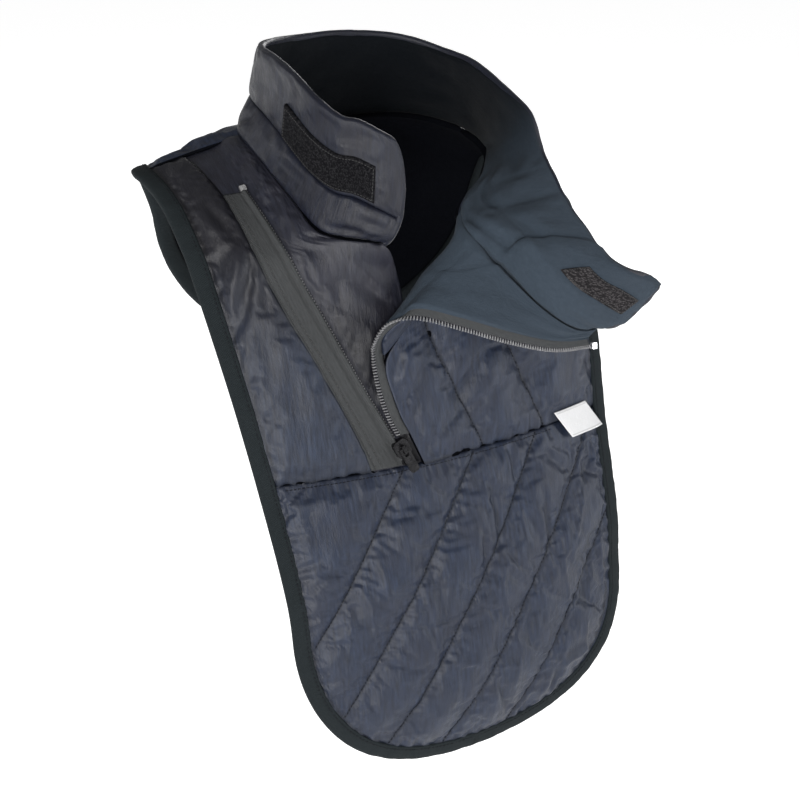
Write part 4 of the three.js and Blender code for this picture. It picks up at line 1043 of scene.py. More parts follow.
class Shader:
    """Principled material that takes its pattern from the cloth coordinates, in cm."""

    def __init__(self, name, place="cloth"):
        self.material = bpy.data.materials.new(name)
        self.material.use_nodes = True
        self.nodes = self.material.node_tree.nodes
        self.links = self.material.node_tree.links
        self.bsdf = self.nodes["Principled BSDF"]
        if place == "cloth":
            self.place = self.add("ShaderNodeAttribute", attribute_name="cloth").outputs["Vector"]
        else:
            coords = self.add("ShaderNodeTexCoord").outputs["Object"]
            self.place = self.vector("MULTIPLY", coords, (100, 100, 100))

    def add(self, kind, **settings):
        node = self.nodes.new(kind)
        for name, value in settings.items():
            setattr(node, name, value)
        return node

    def put(self, socket, value):
        if isinstance(value, bpy.types.NodeSocket):
            self.links.new(value, socket)
        else:
            socket.default_value = value

    def vector(self, operation, a, b):
        node = self.add("ShaderNodeVectorMath", operation=operation)
        self.put(node.inputs[0], a)
        self.put(node.inputs[1], b)
        return node.outputs[0]

    def math(self, operation, a, b=0.0, clamp=False):
        node = self.add("ShaderNodeMath", operation=operation, use_clamp=clamp)
        self.put(node.inputs[0], a)
        self.put(node.inputs[1], b)
        return node.outputs[0]

    def noise(self, scale, detail=3, roughness=0.55):
        node = self.add("ShaderNodeTexNoise")
        self.put(node.inputs["Vector"], self.vector("MULTIPLY", self.place, scale))
        node.inputs["Scale"].default_value = 1
        node.inputs["Detail"].default_value = detail
        node.inputs["Roughness"].default_value = roughness
        return node.outputs["Fac"]

    def cells(self, scale):
        node = self.add("ShaderNodeTexVoronoi")
        self.put(node.inputs["Vector"], self.vector("MULTIPLY", self.place, scale))
        node.inputs["Scale"].default_value = 1
        return node.outputs["Distance"]

    def weave(self, across, down):
        """Over-and-under weave with its threads that many cm apart, between -1 and 1."""
        parts = self.add("ShaderNodeSeparateXYZ")
        self.put(parts.inputs[0], self.place)
        waves = [
            self.math("SINE", self.math("MULTIPLY", parts.outputs[i], 2 * math.pi / pitch))
            for i, pitch in enumerate((across, down))
        ]
        return self.math("MULTIPLY", *waves)

    def ramp(self, value, low, high, a, b):
        node = self.add("ShaderNodeMapRange")
        for name, number in (("From Min", low), ("From Max", high), ("To Min", a), ("To Max", b)):
            node.inputs[name].default_value = number
        self.put(node.inputs["Value"], value)
        return node.outputs["Result"]

    def blend(self, share, a, b, how="MIX"):
        node = self.add("ShaderNodeMix", data_type="RGBA", blend_type=how)
        self.put(node.inputs["Factor"], share)
        self.put(node.inputs[6], a if isinstance(a, bpy.types.NodeSocket) else (*a, 1))
        self.put(node.inputs[7], b if isinstance(b, bpy.types.NodeSocket) else (*b, 1))
        return node.outputs[2]

    def shaded(self, colour):
        """Colour times the shade kept with each point."""
        shade = self.add("ShaderNodeAttribute", attribute_name="shade").outputs["Fac"]
        grey = self.add("ShaderNodeCombineColor")
        for socket in grey.inputs:
            self.put(socket, shade)
        return self.blend(1.0, colour, grey.outputs[0], "MULTIPLY")

    def bump(self, height, distance, strength=1.0, over=None):
        node = self.add("ShaderNodeBump")
        node.inputs["Strength"].default_value = strength
        node.inputs["Distance"].default_value = distance
        self.put(node.inputs["Height"], height)
        if over is not None:
            self.put(node.inputs["Normal"], over)
        self.put(self.bsdf.inputs["Normal"], node.outputs[0])
        return node.outputs[0]

    def set(self, **values):
        for name, value in values.items():
            self.put(self.bsdf.inputs[name.replace("_", " ")], value)
        return self


def nylon(name, light, dark, warm, shade_above=0.0):
    """Downproof nylon with random patches of the warm colour; above that many cm along the drape it turns to
    the warm colour all over, a painted shade.
    """
    m = Shader(name)
    streaks = m.noise((5.5, 0.7, 1), 4)
    patches = m.noise((0.35, 0.25, 1), 2)
    slubs = m.noise((34, 3.5, 1), 2)
    colour = m.blend(m.ramp(streaks, 0.3, 0.7, 0, 1), dark, light)
    colour = m.blend(m.ramp(patches, 0.35, 0.7, 0, 0.5), colour, warm)
    if shade_above:
        parts = m.add("ShaderNodeSeparateXYZ")
        m.put(parts.inputs[0], m.place)
        # Painted shade: the cloth turns to the warm colour high up the drape
        colour = m.blend(m.ramp(parts.outputs[1], shade_above - 4, shade_above + 5, 1, 0), colour, warm)
    colour = m.blend(m.ramp(slubs, 0.62, 0.8, 0, 0.35), colour, light)
    m.set(
        Base_Color=m.shaded(colour),
        Roughness=m.ramp(m.noise((2.2, 1.2, 1), 3), 0.3, 0.7, 0.32, 0.48),
        Specular_IOR_Level=0.26,
    )
    soft = m.bump(m.noise((2.6, 0.9, 1), 3), 0.001, 0.5)
    soft = m.bump(m.noise((10, 1.2, 1), 3), 0.0004, 0.5, soft)
    m.bump(m.math("ADD", m.weave(0.06, 0.05), m.math("MULTIPLY", slubs, 2.0)), 0.00005, 0.5, soft)
    return m.material


def fleece(name, light, dark, sheen=0.12, gloss=0.1):
    m = Shader(name)
    nap = m.noise((26, 26, 1), 4, 0.7)
    clumps = m.noise((3.2, 3.2, 1), 3)
    colour = m.blend(m.ramp(nap, 0.3, 0.72, 0, 1), dark, light)
    colour = m.blend(m.ramp(clumps, 0.3, 0.75, 0, 0.45), colour, dark)
    m.set(
        Base_Color=m.shaded(colour),
        Roughness=0.95,
        Sheen_Weight=sheen,
        Sheen_Roughness=0.55,
        Specular_IOR_Level=gloss,
    )
    soft = m.bump(clumps, 0.0008, 0.5)
    m.bump(nap, 0.0006, 0.8, soft)
    return m.material


def woven(name, light, dark, across, down, rough=0.85, depth=0.00018, sheen=0.1):
    m = Shader(name)
    threads = m.weave(across, down)
    wear = m.noise((6, 2.5, 1), 3)
    colour = m.blend(m.ramp(threads, -1, 1, 0, 1), dark, light)
    colour = m.blend(m.ramp(wear, 0.35, 0.75, 0, 0.5), colour, light)
    m.set(Base_Color=m.shaded(colour), Roughness=rough, Sheen_Weight=sheen, Specular_IOR_Level=0.2)
    soft = m.bump(wear, 0.0006, 0.4)
    m.bump(threads, depth, 0.8, soft)
    return m.material


def pile(name, light, dark, pitch):
    m = Shader(name)
    loops = m.cells((1 / pitch, 1 / pitch, 1))
    fuzz = m.noise((30, 30, 1), 3, 0.7)
    colour = m.blend(m.ramp(loops, 0.1, 0.6, 0, 1), light, dark)
    colour = m.blend(m.ramp(fuzz, 0.55, 0.75, 0, 0.6), colour, light)
    m.set(Base_Color=colour, Roughness=0.9, Specular_IOR_Level=0.1)
    m.bump(m.math("ADD", loops, fuzz), 0.0009, 0.8)
    return m.material


def hard(name, light, dark, metallic, rough):
    m = Shader(name, "object")
    wear = m.noise((4, 4, 4), 4)
    fine = m.noise((60, 60, 60), 2)
    m.set(
        Base_Color=m.blend(m.ramp(wear, 0.35, 0.65, 0, 1), dark, light),
        Metallic=metallic,
        Roughness=m.ramp(m.noise((12, 12, 12), 3), 0.3, 0.7, rough - 0.08, rough + 0.1),
    )
    m.bump(fine, 0.00003, 0.4)
    return m.material


NAVY = nylon("navy_nylon", (0.016, 0.0235, 0.0445), (0.0063, 0.009, 0.0175), (0.015, 0.017, 0.026))
WARM = nylon("warm_nylon", (0.017, 0.019, 0.029), (0.007, 0.0075, 0.012), (0.017, 0.0155, 0.021))
# Right front nylon: its upper part turns to the darker warm colour, a painted shade
SHADED = nylon("shaded_nylon", (0.021, 0.029, 0.050), (0.009, 0.012, 0.021), (0.009, 0.009, 0.012), 14.0)
COLLAR_CLOTH = nylon(
    "collar_nylon", (0.0080, 0.0105, 0.0205), (0.0032, 0.0038, 0.0074), (0.008, 0.0075, 0.011)
)
FLEECE = fleece("grey_fleece", (0.046, 0.060, 0.078), (0.020, 0.028, 0.038), 0.03, 0.04)
# The grey fleece darkened to near black: painted shade, for inner faces and rims seen deep in the neck
FLEECE_IN_PAINTED_SHADE = fleece("fleece_darkened_as_painted_shade", (0.004, 0.005, 0.007), (0.002, 0.002, 0.003), 0.0, 0.02)
BINDING = woven("binding_cloth", (0.009, 0.013, 0.015), (0.004, 0.006, 0.007), 0.11, 0.16, 0.9, 0.00018, 0.0)
TAPE = woven("tape_cloth", (0.058, 0.061, 0.063), (0.018, 0.019, 0.020), 0.09, 0.13, 0.85, 0.0003, 0.0)
THREAD = woven("thread", (0.050, 0.050, 0.050), (0.025, 0.025, 0.025), 0.05, 0.05, 0.6)
DARK_THREAD = woven("dark_thread", (0.006, 0.007, 0.010), (0.003, 0.003, 0.005), 0.05, 0.05, 0.8, 0.0001, 0.0)
COIL = hard("coil_nylon", (0.150, 0.150, 0.155), (0.080, 0.080, 0.085), 0.0, 0.3)
METAL = hard("black_enamel", (0.020, 0.020, 0.022), (0.005, 0.005, 0.006), 0.5, 0.25)
STEEL = hard("bare_metal", (0.75, 0.75, 0.75), (0.45, 0.45, 0.46), 0.9, 0.3)
LOOP = pile("loop_pile", (0.022, 0.022, 0.024), (0.002, 0.002, 0.003), 0.12)
HOOK = pile("hook_strip", (0.075, 0.070, 0.072), (0.012, 0.011, 0.012), 0.15)
LABEL_SATIN = woven("label_satin", (0.60, 0.60, 0.60), (0.50, 0.50, 0.51), 0.03, 0.05, 0.45, 0.00005, 0.0)


# Pieces


def stitches(name, line, normals, pitch=3.2, length=2.1, radius=0.28, material=None):
    """A row of short thread stitches laid along a line of points."""
    run = run_of(line)
    marks = np.arange(pitch / 2, run[-1], pitch)
    ways = (line, normals, np.gradient(line, axis=0))
    here, up, ahead = (at_marks(marks, run, way) for way in ways)
    up, ahead = unit(up), unit(ahead)
    side = unit(np.cross(up, ahead))
    turn = all_round(6)
    ends = np.array([-0.5, -0.3, 0, 0.3, 0.5]) * length
    fat = np.array([0.35, 0.85, 1, 0.85, 0.35]) * radius
    sink = np.array([-0.35, 0.0, 0.25, 0.0, -0.35]) * radius * 2
    round_it = ((side, np.cos(turn) * fat[:, None]), (up, np.sin(turn) * fat[:, None]))
    rings = rings_at(here, (ahead, ends[:, None]), (up, sink[:, None]), *round_it)
    return beads(name, rings, material or THREAD)


def rings_at(here, *parts):
    """Rings of points round places: each part is a direction and how far along it, ring by ring."""
    points = here[:, None, None]
    for way, amount in parts:
        points = points + way[:, None, None] * amount[None, :, :, None]
    return points


def beads(name, rings, material):
    """Many small closed bodies, each a stack of rings of points."""
    count, stack, around = rings.shape[:3]
    i, j, k = np.meshgrid(np.arange(count), np.arange(stack - 1), np.arange(around), indexing="ij")
    base, after = i * stack * around, (k + 1) % around
    sides = np.stack(
        [
            base + j * around + k,
            base + j * around + after,
            base + (j + 1) * around + after,
            base + (j + 1) * around + k,
        ],
        -1,
    ).reshape(-1, 4)
    m = np.arange(around // 2 - 1)
    cap = np.stack([m, m + 1, around - 2 - m, around - 1 - m], -1)
    starts = np.arange(count)[:, None, None] * stack * around
    low = (cap[None, :, ::-1] + starts).reshape(-1, 4)
    high = (cap[None] + starts + (stack - 1) * around).reshape(-1, 4)
    points = rings.reshape(-1, 3)
    quads = turned_out(points, np.concatenate([sides, low, high]))
    return build(name, points, quads, [material], points, np.ones(len(points)))


def finish_piece(piece, nodes):
    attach(piece, "root")
    if nodes:
        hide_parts(*nodes)
    return piece


# For each: its place, fine and coarse grids, growth, pressure and the cap on a move in mm
PANELS = {
    "bib": (bib_place, (176, 232), (75, 92), 0.03, 0.7, 3.0),
    "front_right": (chest_right_place, (176, 44), (80, 18), 0.018, 0.35, 2.0),
    "underlay": (underlay_place, (160, 64), (80, 32), 0.012, 0.15, 1.2),
    "front_left": (chest_left_place, (176, 112), (80, 48), 0.03, 0.7, 3.2),
    "back": (back_place, (96, 120), (48, 60), 0.025, 0.5, 2.5),
}
BANDS = {
    "collar_low": (lower_band, (16, 330), (8, 165), 0.012, 0.25, 1.0),
    "collar_high": (upper_band, (32, 330), (16, 165), 0.012, 0.25, 1.0),
}
FACES = {}


def sheets_to_simulate():
    sheets = {}
    for name, (place, _, coarse, *settings) in (PANELS | BANDS).items():
        made = place(*grid(*coarse))
        outer = made["points"] if name in BANDS else panel_side(made, "outer")
        sheets[name] = (outer, made["pins"], *settings)
    return sheets


MOVES = simulated(sheets_to_simulate())


def moved(name, points):
    if name not in MOVES:
        return points
    return points + resample(MOVES[name], points.shape[0], points.shape[1])


def panel_piece(name, key, materials, nodes, dark_rims=()):
    place, fine = PANELS[key][:2]
    made = place(*grid(*fine))
    cloth = flat(made["x"], made["drape"])
    inner, outer = panel_side(made, "inner"), panel_side(made, "outer")
    away = unit(outer - inner)
    thick = np.minimum(np.linalg.norm(outer - inner, axis=-1, keepdims=True), THINNEST)
    outer = moved(key, outer)
    outer = outer + away * np.maximum(thick - np.sum((outer - inner) * away, -1, keepdims=True), 0)
    FACES[key] = outer
    piece = slab(name, outer, inner, materials, cloth, made.get("shade"), dark_rims)
    return finish_piece(piece, nodes)


def on_face(key, v, t):
    """Points of a finished panel at shares down and across it."""
    face = FACES[key]
    rows, cols = face.shape[0] - 1, face.shape[1] - 1
    down, across = np.clip(v, 0, 0.9999) * rows, np.clip(t, 0, 0.9999) * cols
    i, j = down.astype(int), across.astype(int)
    f, g = (down - i)[:, None], (across - j)[:, None]
    return mix(mix(face[i, j], face[i, j + 1], g), mix(face[i + 1, j], face[i + 1, j + 1], g), f)


def on_bib(x, drape):
    u = x / (half_width(drape, x) - STITCHED)
    share = np.linspace(0, 1, 200)
    t = np.interp(u, mix(np.sin((share - 0.5) * np.pi), 2 * share - 1, 0.35), share)
    v = (drape - SEAM_DRAPE) / (hem_drape(FRONT_CORNERS, u, STITCHED) - SEAM_DRAPE)
    return on_face("bib", v, t)


def on_chest_left(x, drape):
    start, end = left_edge(drape)[0] + 0.2, half_width(drape, x) - STITCHED
    return on_face("front_left", drape / (SEAM_DRAPE + SEAM_LAP), (x - start) / (end - start))


def quilt_stitches():
    """Rows of dark thread sunk in the quilting lines, and one beside the seam across the body."""
    for name, rows, place, drape in (
        ("bib", BIB_QUILTING, on_bib, np.linspace(SEAM_DRAPE + 1, 486, 400)),
        ("chest", CHEST_QUILTING, on_chest_left, np.linspace(150, SEAM_DRAPE - 1, 200)),
    ):
        for line in range(rows["lines"]):
            start = rows["first"] * BIB_HALF_WIDTH + line * QUILT_SPACING
            x = start + rows["lean"] * (drape - SEAM_DRAPE)
            inside = edge_distance(FRONT_CORNERS, x, drape) > 12.5
            if name == "chest":
                inside &= x > left_edge(drape)[0] + 4
            x, along_it = x[inside], drape[inside]
            thread_row(f"{name}_quilting_{line + 1}", place(x, along_it), x, along_it)
    x = np.linspace(-128, 88, 300)
    drape = np.full_like(x, SEAM_DRAPE + 3.2)
    thread_row("seam_stitches", on_bib(x, drape), x, drape)


def thread_row(name, points, x, drape):
    normals = form_normal(x, drape)
    row = stitches(name, points + normals * 0.12, normals, 3.0, 2.5, 0.32, DARK_THREAD)
    finish_piece(row, [])


def sheet_piece(name, made, materials, nodes, key=None):
    outer = moved(key, made["points"]) if key else made["points"]
    piece = slab(name, outer, made["back"], materials, made["cloth"], made.get("shade"))
    return finish_piece(piece, nodes)


# Below, inner faces and the rims named take the fleece darkened as painted shade
panel_piece("bib_cloth", "bib", [NAVY, FLEECE_IN_PAINTED_SHADE], ["bib_lower"])
panel_piece("front_right_cloth", "front_right", [SHADED, FLEECE_IN_PAINTED_SHADE], ["chest_right"])
panel_piece("front_left_cloth", "front_left", [NAVY, FLEECE_IN_PAINTED_SHADE], ["chest_left"], (0,))
panel_piece("underlay_cloth", "underlay", [WARM, FLEECE_IN_PAINTED_SHADE], ["neck_underlay"])
panel_piece("back_cloth", "back", [NAVY, FLEECE_IN_PAINTED_SHADE], ["back_flap"], (2,))
quilt_stitches()
for key, name, node in (
    ("collar_low", "collar_low_cloth", "collar_lower_band"),
    ("collar_high", "collar_high_cloth", "collar_upper_band"),
):
    place, fine = BANDS[key][:2]
    sheet_piece(name, place(*grid(*fine)), [COLLAR_CLOTH, FLEECE_IN_PAINTED_SHADE], [node], key)
# The fleece pieces and the flap's shell keep their inner faces in the fleece darkened as painted shade
LINING = [FLEECE, FLEECE_IN_PAINTED_SHADE]
sheet_piece("collar_fleece", collar_fleece(*grid(60, 330)), LINING, ["collar_lining"])
sheet_piece("flap_fleece", flap_fleece(*grid(60, 150)), LINING, ["flap_lining"])
sheet_piece("flap_cloth", flap_shell(*grid(60, 150)), [NAVY, FLEECE_IN_PAINTED_SHADE], ["flap_shell"])


def rim_fold():
    """Cloth rolled over the open edges: up the front of the collar, round its rim and down the flap."""
    middle, low = 1.1, 0.035
    up = np.linspace(0.02, 2 - low, 40)
    around = np.linspace(nose_reach(np.array(2.0))[0], LAST, 330)
    down = up[::-1]
    side = np.linspace(1, 0.02, 40)
    line = np.concatenate(
        [
            collar_at(nose_reach(up)[0] + 0.05, up, np.full_like(up, middle)),
            collar_at(around, np.full_like(around, 2 - low), np.full_like(around, middle)),
            collar_at(nose_reach(down)[1] - 0.05, down, np.full_like(down, middle)),
            flap_at(np.full_like(side, FLAP_SPAN - 0.07), side, np.full_like(side, middle)),
        ]
    )
    keep = np.concatenate([[True], np.linalg.norm(np.diff(line, axis=0), axis=1) > 0.4])
    line = line[keep]
    for _ in range(6):
        line[1:-1] = (line[:-2] + 2 * line[1:-1] + line[2:]) / 4
    ahead = unit(np.gradient(line, axis=0))
    up_way = unit(np.cross(ahead, np.array([0.3, 0.2, 1.0])))
    other = np.cross(ahead, up_way)
    turn = all_round(14)
    run = run_of(line)
    ruffle = smooth((run - run[-1] + 110) / 30)
    fat = 2.5 + (0.12 + 0.5 * ruffle) * noise(run / 6.0, np.zeros(len(line)), 99)
    line = line + up_way * (0.9 * ruffle * noise(run / 8.0, np.zeros(len(line)), 98))[:, None]
    ring = fat[:, None, None] * (
        np.cos(turn)[None, :, None] * up_way[:, None] + np.sin(turn)[None, :, None] * other[:, None]
    )
    cloth = np.stack(np.broadcast_arrays(run[:, None], turn[None] * 2.5, np.zeros((1, 1))), -1)
    piece = sweep("collar_rim_fold", line[:, None] + ring, False, [COLLAR_CLOTH], cloth)
    return finish_piece(piece, [])


rim_fold()


# Binding round the outline


def outline_places():
    places = []
    for corners, sign, side, way in (
        (FRONT_CORNERS, 1, -1, 1),
        (None, 1, -1, 1),
        (BACK_CORNERS, -1, -1, -1),
        (BACK_CORNERS, -1, 1, 1),
        (None, 1, 1, -1),
        (FRONT_CORNERS, 1, 1, -1),
    ):
        name = "right" if side < 0 else "left"
        if corners is None:
            drape = np.linspace(FRONT_CORNERS[name][0], -BACK_CORNERS[name][0], 230)[::way]
            x = half_width(drape, side)
        else:
            start, depth, power = corners[name]
            turn = np.linspace(0, 1, 120)[::way] * np.pi / 2
            reach = start + depth * np.maximum(np.cos(turn), 0) ** (2 / power)
            drape = sign * reach
            x = np.sin(turn) ** (2 / power) * half_width(drape, side)
        places.append(np.stack([x * side, drape], -1))
    line = np.concatenate(places)
    step = np.linalg.norm(np.roll(line, -1, 0) - line, axis=1)
    line = line[step > 0.05]
    run = run_of(line)
    marks = np.linspace(0, run[-1], 760, endpoint=False)
    return at_marks(marks, run, line)


def outline_frame():
    places = outline_places()
    ahead = np.roll(places, -1, 0) - np.roll(places, 1, 0)
    for _ in range(8):
        ahead = (np.roll(ahead, 1, 0) + 2 * ahead + np.roll(ahead, -1, 0)) / 4
    out = unit(np.stack([ahead[:, 1], -ahead[:, 0]], -1))
    flip = np.sum(out * places, -1) < 0
    out[flip] *= -1
    return places, out


def along_binding(places, out, away, level):
    """Points at a distance in from the outline and a level off the form."""
    x = places[:, :1] + out[:, :1] * away
    drape = places[:, 1:] + out[:, 1:] * away
    return lifted(x, drape, level)


def binding():
    places, out = outline_frame()
    middle = -STITCHED * 1.5
    half = STITCHED / 2 + 1.4
    width = BINDING_WIDTH
    section = np.array(
        [
            [-width, half - 0.9],
            [-width + 0.7, half - 0.1],
            [-width + 2.5, half + 0.1],
            [-width * 0.5, half + 0.35],
            [-2.2, half + 0.3],
            [-0.8, half - 0.3],
            [-0.1, half * 0.5],
            [0.1, 0],
            [-0.1, -half * 0.5],
            [-0.8, -half + 0.3],
            [-2.2, -half - 0.3],
            [-width * 0.5, -half - 0.35],
            [-width + 2.5, -half - 0.1],
            [-width, -half + 0.9],
        ]
    )
    count = len(places)
    run = np.linspace(0, 1480, count, endpoint=False)[:, None]
    away = np.broadcast_to(section[:, 0], (count, len(section)))
    ripple = 0.28 * noise(run / 7.0, away / 9 + 5, 101) + 0.22 * noise(run / 3.2, away / 5 + 5, 102)
    bulk = np.sign(section[:, 1]) * np.minimum(1, np.abs(section[:, 1]))
    level = middle + section[:, 1] + ripple * bulk
    stitched = np.exp(-(((section[:, 0] + width - 2.4) / 1.2) ** 2))
    level = level - 0.35 * stitched * bulk
    points = along_binding(places, out, away, level)
    cloth = np.stack(np.broadcast_arrays(run, away, 0 * away), -1)
    piece = sweep("binding_tape", points, True, [BINDING], cloth)
    finish_piece(piece, ["edge_binding"])
    here = np.full((count, 1), -width + 2.4)
    line = along_binding(places, out, here, middle + half + 0.05)[:, 0]
    normals = form_normal(places[:, 0], places[:, 1])
    finish_piece(stitches("binding_stitches", line, normals, 3.4, 2.5, 0.3, DARK_THREAD), [])


binding()


# Zips


def right_tape(u, v):
    drape = mix(FRONT_DRAPE * 0.118, SEAM_DRAPE - 1, u)
    x = mix(placket_x(drape) - 1.5, zip_x(drape) - 0.9, v)
    ridge = 0.22 * np.exp(-(((v - 0.68) / 0.05) ** 2)) + 0.18 * np.exp(-(((v - 0.22) / 0.04) ** 2))
    wave = 0.25 * noise(drape / 11, v * 2, 111)
    lip = smooth((x - zip_x(drape) + COIL_WIDTH + 1.6) / 2.2) - 0.35 * smooth((x - zip_x(drape) + 2) / 1.1)
    level = TAPE_LEVEL + ridge + wave + 2.6 * lip
    return x, drape, level


def tape_piece(name, top, under, run, width, node, shade=None):
    cloth = flat(width, run)
    return finish_piece(slab(name, top, under, [TAPE, TAPE], cloth, shade), [node])


def right_zip():
    u, v = grid(150, 30)
    x, drape, level = right_tape(u, v)
    # Dark lines kept in the tape's shade: the one near its outer edge is painted shadow along that edge; the
    # others darken it along its length
    dark_lines = ((0.1, 0.4), (0.3, 0.3), (0.42, 0.15), (0.72, 0.2))
    lines = sum(deep * np.exp(-(((v - at) / 0.022) ** 2)) for at, deep in dark_lines)
    top, under = (lifted(x, drape, level + side * TAPE_THICKNESS / 2) for side in (1, -1))
    tape_piece("zip_tape_near", top, under, drape, x - placket_x(drape), "zip_tape_right", 1 - lines)
    for share, tag in ((0.3, "outer"), (0.14, "inner")):
        t = np.linspace(0.01, 0.99, 200)
        x, drape, level = right_tape(t, np.full_like(t, share))
        line = lifted(x, drape, level + TAPE_THICKNESS / 2 + 0.12)
        row = stitches("zip_stitches_" + tag, line, form_normal(x, drape), 3.0, 2.0, 0.22)
        finish_piece(row, [])


def coil_teeth(name, centre, side, up, node, pitch=2.2):
    """Turns of the coil along a line, each a rounded bar across the zip, over a thin core."""
    run = run_of(centre)
    marks = np.arange(0.5, run[-1], pitch)
    here, across, over = (at_marks(marks, run, way) for way in (centre, side, up))
    across, over = unit(across), unit(over)
    ahead = unit(np.cross(across, over))
    turn = all_round(6)
    ends = np.array([-0.5, -0.42, -0.1, 0.28, 0.46, 0.5]) * COIL_WIDTH
    tall = np.array([0.25, 0.75, 0.8, 0.9, 1.0, 0.45]) * COIL_HEIGHT / 2
    wide = np.array([0.3, 0.6, 0.58, 0.6, 0.68, 0.4])
    round_it = ((ahead, np.cos(turn) * wide[:, None]), (over, np.sin(turn) * tall[:, None]))
    rings = rings_at(here, (across, ends[:, None]), *round_it)
    finish_piece(beads(name, rings, COIL), [node])
    # The coil's core cord, in near-black thread so that the gaps between the turns read dark: painted shade
    turn = all_round(8)
    core = (
        centre[:, None]
        - side[:, None] * 0.5
        + side[:, None] * (np.cos(turn) * COIL_WIDTH * 0.3)[None, :, None]
        + up[:, None] * (np.sin(turn) * COIL_HEIGHT * 0.16)[None, :, None]
    )
    finish_piece(sweep(name + "_core", core, False, [DARK_THREAD], core), [])


def right_coil():
    drape = np.linspace(FRONT_DRAPE * 0.118, SEAM_DRAPE - BOX_LENGTH - SLIDER_LENGTH, 160)
    level = -UNDERLAY_DEPTH + GAP + COIL_HEIGHT / 2
    a, b = placket_x(drape), zip_x(drape)
    side = unit(lifted(b, drape, TAPE_LEVEL) - lifted(a, drape, TAPE_LEVEL))
    centre = lifted(b - COIL_WIDTH / 2, drape, level)
    coil_teeth("zip_teeth_near", centre, side, form_normal(b, drape), "zip_coil_right")


def left_zip():
    at = np.linspace(0.1, 1, 260) * LAST_ZIP
    coil = lifted(*left_zip_place(at, "coil"))
    edge = lifted(*left_zip_place(at, "edge"))
    side = unit(coil - edge)
    ahead = unit(np.gradient(coil, axis=0))
    up = unit(np.cross(ahead, side))
    coil_teeth("zip_teeth_far", coil, side, up, "zip_coil_left")
    v = np.linspace(0, 1, 9)[None, :, None]
    start, end = edge[:, None] - side[:, None] * 1.5, coil[:, None] - side[:, None] * (COIL_WIDTH / 2)
    middle = mix(start, end, v)
    half = up[:, None] * (TAPE_THICKNESS / 2)
    run = run_of(coil)
    run = np.broadcast_to(run[:, None], middle.shape[:2])
    width = np.broadcast_to(v[..., 0] * 6, middle.shape[:2])
    tape_piece("zip_tape_far", middle + half, middle - half, run, width, "zip_tape_left")


right_zip()
right_coil()
left_zip()


# Strips, label and fittings


def strip(name, start, end, place, ground, thickness, side, materials, node):
    """Hook-and-loop strip on the upper band, its border sewn down."""
    low, high = place
    v, u = grid(48, 150)
    at, height = mix(start, end, u), mix(low, high, v)
    rim = np.minimum(np.minimum(v, 1 - v) * STRIP_WIDTH, np.minimum(u, 1 - u) * LOOP_LENGTH)
    sewn = np.exp(-(((rim - 1.8) / 0.7) ** 2))
    rough = 0.35 * noise(at * 26, v * 26, 121) + 0.25 * noise(at * 60, v * 60, 122)
    rise = thickness * smooth(rim / 0.9) * (1 - 0.4 * sewn) + rough * smooth((rim - 2.5) / 1.5)
    level = ground + side * rise
    back = collar_at(at, height, np.full_like(at, ground) - side * 1.9)
    points = collar_at(at, height, level)
    cloth = flat(at * COLLAR_RUN, height * 48)
    finish_piece(slab(name, points, back, materials, cloth), [node])
    inset = 1.8 / np.array([LOOP_LENGTH, STRIP_WIDTH])
    corners = mix(inset, 1 - inset, np.array([[0, 0], [1, 0], [1, 1], [0, 1], [0, 0]]))
    t = np.linspace(0, 1, 160)[:, None]
    edge = np.concatenate([mix(a, b, t) for a, b in zip(corners, corners[1:])])
    at, height = mix(start, end, edge[:, 0]), mix(low, high, edge[:, 1])
    line = collar_at(at, height, np.full_like(at, ground + side * thickness * 0.85))
    normals = collar_normal(at, height) * side
    finish_piece(stitches(name + "_stitches", line, normals, 2.2, 1.5, 0.24), [])


strip(
    "loop_strip",
    1.3,
    1.3 + LOOP_LENGTH / 25,
    (1.07, 1.07 + STRIP_WIDTH / (COLLAR_HEIGHT * 0.65)),
    GAP + SHELL_THICKNESS + 1.6,
    1.4,
    1,
    [LOOP, LOOP],
    "loop_patch",
)
strip(
    "hook_band",
    LAST - 0.4 - HOOK_LENGTH / 30,
    LAST - 0.4,
    (1.12, 1.12 + STRIP_WIDTH / (COLLAR_HEIGHT * 0.8)),
    -3.4,
    1.5,
    -1,
    [HOOK, HOOK],
    "hook_patch",
)


def label():
    v, u = grid(30, 46)
    right = half_width(SEAM_DRAPE, 1) - BINDING_WIDTH - LABEL["lean"]
    x = right - LABEL["width"] * (1 - u) + LABEL["lean"] * v
    drape = SEAM_DRAPE - LABEL["rise"] + LABEL["height"] * v
    curl = LABEL["curl"] * v * (1 + np.sin(np.pi * u) / 2)
    level = LABEL["lift"] + 0.9 + curl + 0.5 * np.sin(u * 7 + v * 2) * v
    cloth = flat(x, drape)
    shade = 1 - 0.35 * np.exp(-((np.minimum(v, 1 - v) * 21 - 1.5) ** 2) / 0.1) * (np.abs(u - 0.5) < 0.46)
    top, under = lifted(x, drape, level + 0.5), lifted(x, drape, level - 0.2)
    piece = slab("label_cloth", top, under, [LABEL_SATIN] * 2, cloth, shade)
    finish_piece(piece, ["seam_label"])


label()

for names, material, width in (
    (("zip_slider", "zip_bridge", "zip_pull", "zip_box"), METAL, 0.0004),
    (("zip_stop_right", "zip_stop_left"), STEEL, 0.0005),
):
    for node_name in names:
        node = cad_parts[node_name]
        node.data.materials.clear()
        node.data.materials.append(material)
        bevel = node.modifiers.new("edges", "BEVEL")
        bevel.width, bevel.segments, bevel.limit_method = width, 3, "ANGLE"


# Camera, light and floor

CAMERA_PLACE = (-0.5257, -0.9303, 0.2674)
VIEW_TURN, VIEW_DOWN = math.radians(30), math.radians(24)


def aim(obj, place, forward):
    forward = unit(np.array(forward, float))
    right = unit(np.cross(forward, (0, 0, 1)))
    up = np.cross(right, forward)
    turn = Matrix([list(row) for row in np.stack([right, up, -forward], -1)]).to_4x4()
    obj.matrix_world = Matrix.Translation(place) @ turn


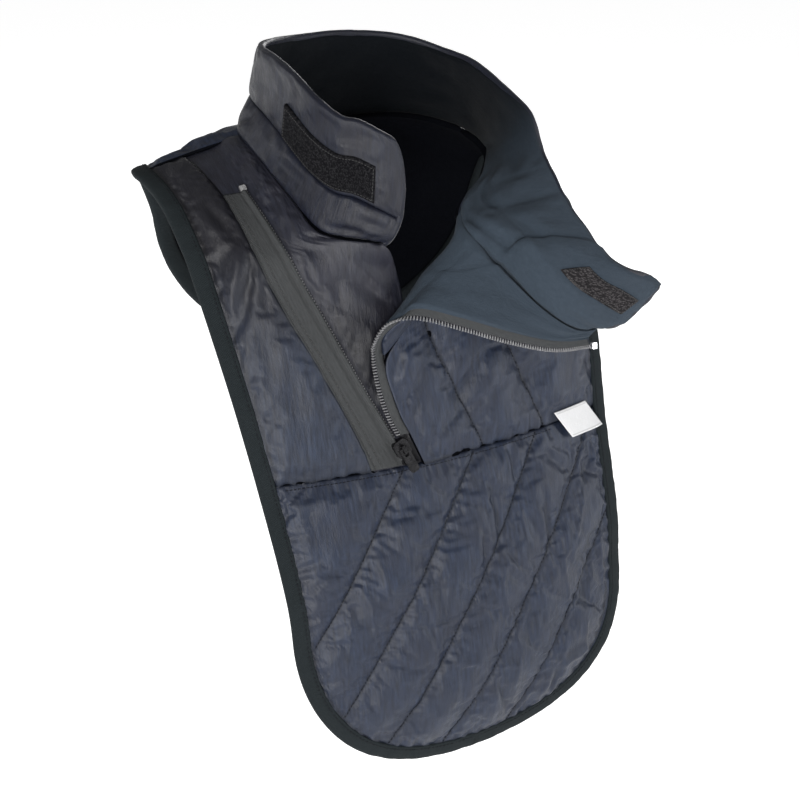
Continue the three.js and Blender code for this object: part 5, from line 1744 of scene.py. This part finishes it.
def camera():
    data = bpy.data.cameras.new("camera")
    data.lens, data.sensor_width = 69.3, 36
    data.clip_start, data.clip_end = 0.01, 50
    obj = placed("camera", data)
    level = math.cos(VIEW_DOWN)
    forward = (math.sin(VIEW_TURN) * level, math.cos(VIEW_TURN) * level, -math.sin(VIEW_DOWN))
    aim(obj, CAMERA_PLACE, forward)
    bpy.context.scene.camera = obj


def lamp(name, place, target, size, power, colour):
    data = bpy.data.lights.new(name, "AREA")
    data.shape, data.size, data.size_y = "RECTANGLE", size[0], size[1]
    data.energy, data.color = power, colour
    aim(placed(name, data), place, np.array(target) - np.array(place))


def studio():
    lamp("key", (-1.6, -2.0, 0.25), (0, -0.08, -0.2), (1.3, 1.0), 75, (1, 0.99, 0.98))
    lamp("side", (1.9, -1.5, 0.35), (0, -0.05, -0.2), (0.6, 1.3), 30, (0.95, 0.97, 1))
    lamp("back_right", (1.7, 1.6, 0.5), (0, 0, -0.1), (1.0, 0.8), 14, (1, 1, 1))
    lamp("back_left", (-1.8, 1.4, 0.4), (0, 0, -0.1), (1.0, 0.8), 10, (1, 1, 1))
    world = bpy.data.worlds.new("studio")
    world.use_nodes = True
    sky = world.node_tree.nodes["Background"].inputs
    sky["Color"].default_value, sky["Strength"].default_value = (1, 1, 1, 1), 0.32
    bpy.context.scene.world = world
    floor_mesh = bpy.data.meshes.new("floor")
    reach, low = 40, -0.62
    corners = [(x * reach, y * reach, low) for x, y in ((-1, -1), (1, -1), (1, 1), (-1, 1))]
    floor_mesh.from_pydata(corners, [], [(0, 1, 2, 3)])
    paint = bpy.data.materials.new("floor_paint")
    paint.use_nodes = True
    sockets = paint.node_tree.nodes["Principled BSDF"].inputs
    sockets["Base Color"].default_value = (0.93, 0.93, 0.93, 1)
    sockets["Roughness"].default_value = 1.0
    sockets["Emission Color"].default_value = (1, 1, 1, 1)
    sockets["Emission Strength"].default_value = 0.66
    floor_mesh.materials.append(paint)
    placed("floor", floor_mesh)


camera()
studio()
bpy.context.scene.view_settings.view_transform = "Standard"
